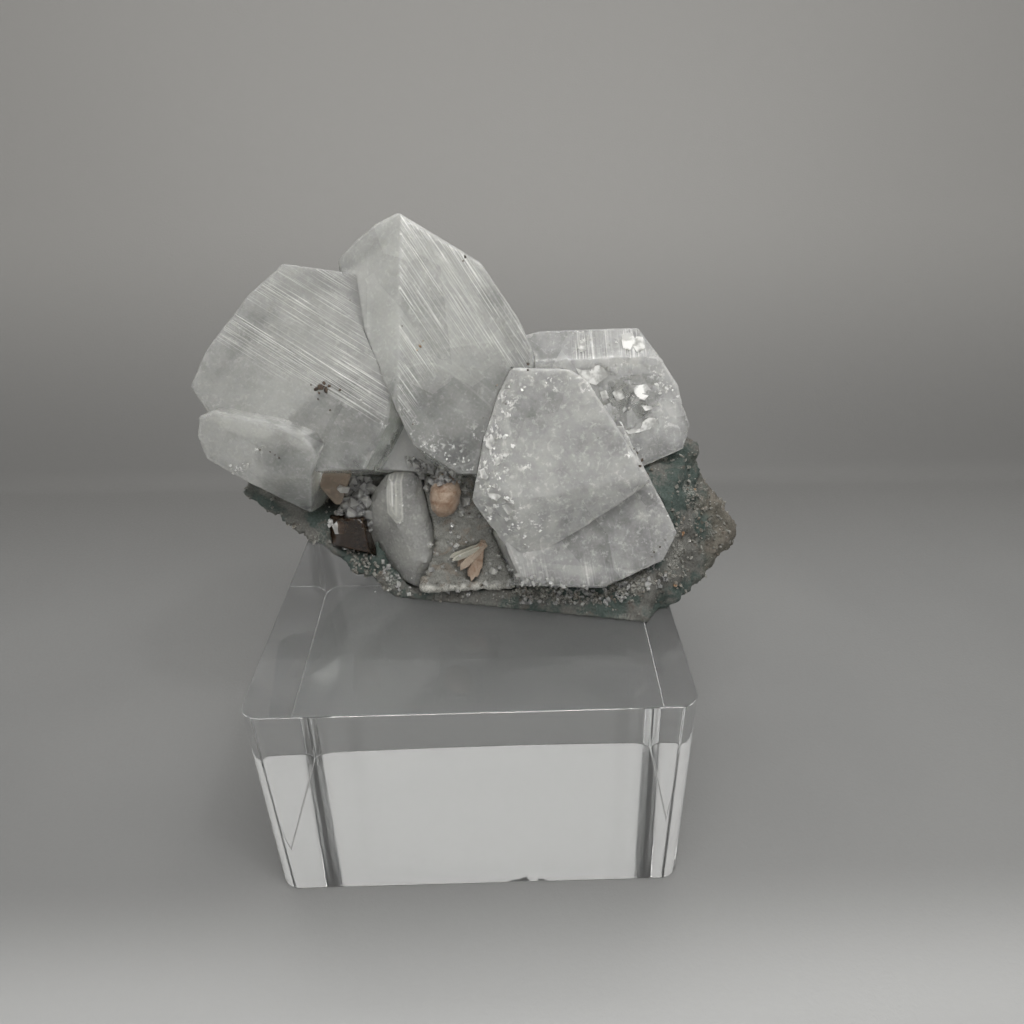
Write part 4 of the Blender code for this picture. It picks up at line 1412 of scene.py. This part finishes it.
# clear little crystals that fill the gaps between the large ones
bm = bmesh.new()
FOOT = ("basalt", "crust", "low_middle_crystal", "low_left_crystal", "left_crystal_pair",
        "tall_crystal", "stilbite_ball_fine")
for u, v, size, ax in (
        (352, 482, 1.30, (0.3, -0.7, 0.6)), (361, 494, 1.15, (0.2, -0.9, 0.2)),
        (349, 499, 0.95, (-0.4, -0.8, 0.3)), (366, 481, 1.0, (0.5, -0.6, 0.6)),
        (357, 506, 0.85, (0.1, -0.9, -0.1)), (343, 489, 0.8, (-0.5, -0.7, 0.5)),
        (366, 505, 0.8, (0.3, -0.9, 0.1)), (432, 470, 1.15, (0.1, -0.7, 0.7)),
        (424, 476, 0.95, (-0.2, -0.8, 0.5)), (442, 469, 1.0, (0.4, -0.7, 0.6)),
        (427, 488, 0.8, (0.0, -0.9, 0.3)), (464, 489, 0.9, (0.5, -0.8, 0.3)),
        (465, 501, 1.05, (0.4, -0.8, 0.1)), (461, 511, 0.75, (0.2, -0.9, 0.0)),
        (417, 466, 0.9, (-0.3, -0.7, 0.6)), (452, 473, 0.8, (0.2, -0.8, 0.6)),
        (350, 515, 0.7, (0.0, -0.9, 0.1)), (430, 545, 0.7, (0.1, -0.8, 0.5)),
        (493, 571, 0.8, (0.4, -0.8, 0.3)), (486, 583, 0.7, (0.2, -0.9, 0.3))):
    found = hit(u, v)
    if found:
        at = found[0] - pixel_ray(u, v) * 0.10
        prism(bm, at, Vector(ax) + Vector([rng.gauss(0, 0.15) for _ in range(3)]),
              size * 0.50, size * 0.42, size * 1.1, rng.uniform(0, 1.6), 0.5, 0.8, 0.3)
sow(bm, [(345, 478), (372, 476), (370, 515), (346, 515), (340, 490)], 30, 0.70, 1.3, rng, FOOT)
sow(bm, [(345, 478), (370, 476), (370, 488), (345, 488)], 10, 0.7, 1.2, rng, FOOT)
sow(bm, [(374, 552), (380, 575), (401, 592), (416, 590), (396, 572)], 18, 0.25, 0.6, rng, ROCKY)
sow(bm, [(426, 484), (470, 474), (482, 500), (505, 560), (540, 590), (500, 598), (402, 600),
         (418, 560), (430, 520)], 46, 0.18, 0.60, rng, ROCKY, 0.8, 0.8)
sow(bm, [(505, 566), (540, 578), (600, 588), (664, 560), (668, 584), (610, 604), (520, 604)],
    190, 0.14, 0.52, rng, ("front_right_crystal", "crust", "basalt"), 0.7)
sow(bm, [(405, 455), (440, 470), (460, 474), (470, 484), (430, 484), (412, 470)], 70, 0.30,
    0.70, rng, FOOT)
sow(bm, [(330, 508), (372, 512), (372, 530), (350, 522)], 20, 0.3, 0.6, rng, FOOT)
finish_piece("glassy_crystals", bm, crystal_material(
    "glassy_crystal_look", LOW_MIDDLE, milk=0.52, veil=0.30, body=(0.70, 0.70, 0.65),
    rough=0.02, scatter=0.0006), [], smooth=False)

# painted glints: small raised flakes, painted near-white and partly turned to catch the spark lamp, on
# the crystals' rough places
bm = bmesh.new()
SHINE = ((Vector((0.10, -0.10, 0.30)) / MM - Vector((5, 0, 50))).normalized()
         + (CAMERA_AT - Vector((5, 0, 50))).normalized()).normalized()


def flake(bm, at, n, size, rng):
    x = n.orthogonal().normalized()
    x.rotate(Quaternion(n, rng.uniform(0, 6.28)))
    y = n.cross(x)
    ring = []
    count = rng.randint(4, 6)
    for i in range(count):
        a = 6.283 * (i + rng.uniform(-0.3, 0.3)) / count
        r = size * rng.uniform(0.6, 1.0)
        ring.append((math.cos(a) * r, math.sin(a) * r * 0.75))
    top = [bm.verts.new(at + x * u + y * v + n * 0.06) for u, v in ring]
    low_ring = [bm.verts.new(at + x * u * 1.25 + y * v * 1.25 - n * 0.25) for u, v in ring]
    bm.faces.new(top)
    bm.faces.new(list(reversed(low_ring)))
    for i in range(count):
        j = (i + 1) % count
        bm.faces.new((low_ring[i], low_ring[j], top[j], top[i]))


def flakes(bm, poly, count, small, large, rng, names, share=0.4):
    us, vs = [q[0] for q in poly], [q[1] for q in poly]
    placed = tries = 0
    while placed < count and tries < count * 12:
        tries += 1
        u, v = rng.uniform(min(us), max(us)), rng.uniform(min(vs), max(vs))
        if not within(u, v, poly):
            continue
        found = hit(u, v)
        if not found or found[2] not in names:
            continue
        at, n, _ = found
        way = SHINE if rng.random() < share else n
        way = (way + Vector([rng.gauss(0, 0.10) for _ in range(3)]) + n * 0.25).normalized()
        flake(bm, at, way, rng.uniform(small, large), rng)
        placed += 1


def facet(bm, pixels, names, tilt=0.35):
    """A broken, flat face that stands a little out of the skin and is turned part of the way to the
    light. Its near-white colour is a painted glint."""
    found = [hit(u, v, names) for u, v in pixels]
    if not all(found):
        return
    centre = sum((f[0] for f in found), Vector()) / len(found)
    n = sum((f[1] for f in found), Vector()).normalized()
    way = (n * (1.0 - tilt) + SHINE * tilt).normalized()
    top = []
    for u, v in pixels:
        ray = pixel_ray(u, v)
        t = way.dot(centre + n * 0.10 - CAMERA_AT) / way.dot(ray)
        top.append(CAMERA_AT + ray * t)
    low_ring = [centre + (q - centre) * 1.06 - n * 0.5 for q in top]
    top = [bm.verts.new(q) for q in top]
    low_ring = [bm.verts.new(q) for q in low_ring]
    bm.faces.new(top)
    bm.faces.new(list(reversed(low_ring)))
    for i in range(len(top)):
        j = (i + 1) % len(top)
        bm.faces.new((low_ring[i], low_ring[j], top[j], top[i]))


C_SKIN = ("back_right_crystal",)
D_SKIN = ("front_right_crystal",)
for outline, tilt in (
        ([(576, 368), (588, 364), (603, 366), (608, 376), (596, 385), (582, 381)], 0.30),
        ([(633, 386), (646, 384), (652, 391), (645, 400), (636, 398)], 0.45),
        ([(619, 421), (630, 425), (643, 422), (640, 432), (628, 434)], 0.40),
        ([(643, 422), (657, 410), (658, 419), (650, 429), (640, 432)], 0.35),
        ([(666, 380), (674, 377), (677, 388), (671, 398), (665, 394)], 0.55),
        ([(612, 393), (621, 389), (625, 398), (617, 401)], 0.35),
        ([(600, 392), (606, 390), (609, 398), (603, 401)], 0.30),
        ([(641, 405), (649, 403), (653, 409), (645, 411)], 0.40),
        ([(577, 331), (584, 330), (586, 350), (580, 352)], 0.35),
        ([(594, 330), (600, 329), (602, 349), (597, 350)], 0.40),
        ([(621, 335), (631, 332), (636, 340), (630, 350), (623, 348)], 0.40),
        ([(636, 336), (643, 337), (645, 348), (637, 352), (633, 346)], 0.30)):
    facet(bm, outline, C_SKIN, tilt)
for outline, tilt in (
        ([(486, 438), (492, 433), (496, 441), (491, 450), (486, 447)], 0.40),
        ([(480, 470), (486, 467), (491, 474), (486, 480), (481, 478)], 0.45),
        ([(487, 489), (498, 486), (503, 494), (497, 501), (489, 497)], 0.50),
        ([(502, 506), (511, 503), (515, 510), (508, 515)], 0.45),
        ([(500, 392), (505, 389), (508, 398), (502, 403)], 0.40),
        ([(494, 458), (500, 456), (502, 463), (496, 466)], 0.35),
        ([(485, 505), (491, 503), (495, 511), (489, 514)], 0.45)):
    facet(bm, outline, D_SKIN, tilt)
# painted glint: a near-white plate on the lower brown crystal
facet(bm, [(332, 526), (338, 520), (346, 525), (343, 534), (335, 534)],
      ("lower_brown_crystal", "basalt", "crust"), 0.4)
facet(bm, [(326, 523), (332, 519), (334, 524), (329, 528)],
      ("lower_brown_crystal", "basalt", "crust"), 0.4)
flakes(bm, [(497, 385), (520, 375), (528, 395), (508, 420), (492, 430)], 16, 0.10, 0.34, rng, D_SKIN)
flakes(bm, [(485, 425), (510, 415), (515, 450), (490, 475), (478, 460)], 26, 0.10, 0.42, rng, D_SKIN)
flakes(bm, [(476, 465), (505, 470), (520, 520), (500, 545), (478, 505)], 44, 0.10, 0.45, rng, D_SKIN)
flakes(bm, [(505, 520), (545, 525), (540, 560), (515, 555)], 18, 0.10, 0.30, rng, D_SKIN)
flakes(bm, [(500, 375), (560, 372), (580, 380), (540, 384)], 14, 0.08, 0.22, rng, D_SKIN)
flakes(bm, [(620, 430), (634, 440), (676, 528), (666, 532)], 16, 0.08, 0.20, rng, D_SKIN)
flakes(bm, [(655, 372), (678, 380), (684, 402), (668, 404), (655, 388)], 22, 0.10, 0.38, rng,
       ("back_right_crystal",), 0.6)
flakes(bm, [(575, 333), (640, 333), (640, 350), (575, 350)], 10, 0.10, 0.30, rng,
       ("back_right_crystal",), 0.6)
flakes(bm, [(395, 430), (420, 455), (445, 470), (480, 470), (470, 460), (430, 445)], 34, 0.08,
       0.22, rng, ("tall_crystal",), 0.3)
flakes(bm, [(228, 462), (250, 464), (250, 474), (230, 474)], 10, 0.10, 0.26, rng,
       ("left_crystal_pair",), 0.4)
flakes(bm, [(388, 472), (402, 472), (404, 522), (396, 524)], 14, 0.08, 0.20, rng,
       ("low_left_crystal",), 0.5)
# single painted glints, turned mostly toward the spark lamp
for u, v, size in ((329, 520, 0.22), (361, 401, 0.30), (460, 556, 0.22), (655, 404, 0.16),
                   (629, 408, 0.20), (606, 408, 0.18), (612, 374, 0.16), (655, 392, 0.20),
                   (388, 590, 0.20), (375, 592, 0.16), (428, 583, 0.22), (452, 526, 0.22),
                   (473, 540, 0.26), (467, 536, 0.18), (500, 588, 0.18), (412, 578, 0.16)):
    found = hit(u, v)
    if found:
        flake(bm, found[0], (SHINE * 2 + found[1]).normalized(), size, rng)
finish_piece("painted_glint_flakes", bm, glint_flake_material(), [], smooth=False)

# ---------------------------------------------------------------------------
# Dark grains and one orange grain on the crystals
# ---------------------------------------------------------------------------
def grain(bm, at, n, size, seed):
    made = bmesh.ops.create_icosphere(bm, subdivisions=2, radius=1.0)["verts"]
    spin = Quaternion(Vector((0, 0, 1)), seed * 1.7)
    turn = n.to_track_quat("Z", "Y") @ spin
    for v in made:
        q = v.co * (0.8 + 0.55 * noise.noise(v.co * 1.6 + Vector((seed * 3.1, seed, 2))))
        v.co = at + turn @ Vector((q.x * size, q.y * size * 0.72, q.z * size * 0.45))


bm = bmesh.new()
for i, (u, v, size) in enumerate((
        (321, 387, 0.55), (326, 390, 0.42), (316, 389, 0.34), (324, 383, 0.30), (329, 386, 0.28),
        (319, 393, 0.22), (340, 390, 0.24), (318, 399, 0.17), (330, 410, 0.18), (311, 385, 0.15),
        (465, 257, 0.26), (463, 261, 0.16), (402, 326, 0.12), (413, 424, 0.16), (496, 386, 0.12),
        (528, 364, 0.26), (528, 370, 0.20), (483, 418, 0.10), (637, 453, 0.26), (642, 460, 0.30),
        (640, 466, 0.24), (648, 474, 0.26), (634, 449, 0.15), (660, 547, 0.15), (665, 540, 0.12),
        (654, 552, 0.14), (652, 557, 0.11), (350, 300, 0.10), (290, 350, 0.10), (469, 513, 0.22),
        (461, 490, 0.10), (270, 452, 0.16), (260, 450, 0.14), (279, 458, 0.17), (275, 455, 0.12),
        (560, 497, 0.10), (598, 438, 0.10), (506, 404, 0.14))):
    found = hit(u, v)
    if found:
        grain(bm, found[0], found[1], size, i)
# and a few where the photo doesn't reach
for i in range(40):
    at, n = rock_faces[rng.randrange(len(rock_faces))]
    if at.z > 31:
        grain(bm, at, n, rng.uniform(0.12, 0.3), i + 60)
finish_piece("dark_grains", bm, speck_material("dark_grain_look", (0.022, 0.014, 0.010),
                                               (0.11, 0.075, 0.05)), [])

bm = bmesh.new()
for i, (u, v, size) in enumerate(((420, 346, 0.24), (417, 350, 0.13), (423, 341, 0.10),
                                  (683, 533, 0.45), (695, 490, 0.40), (675, 585, 0.42),
                                  (497, 385, 0.10))):
    found = hit(u, v)
    if found:
        grain(bm, found[0], found[1], size, i + 7)
finish_piece("rusty_grains", bm, speck_material("rusty_grain_look", (0.30, 0.16, 0.08),
                                                (0.50, 0.36, 0.24)), [])
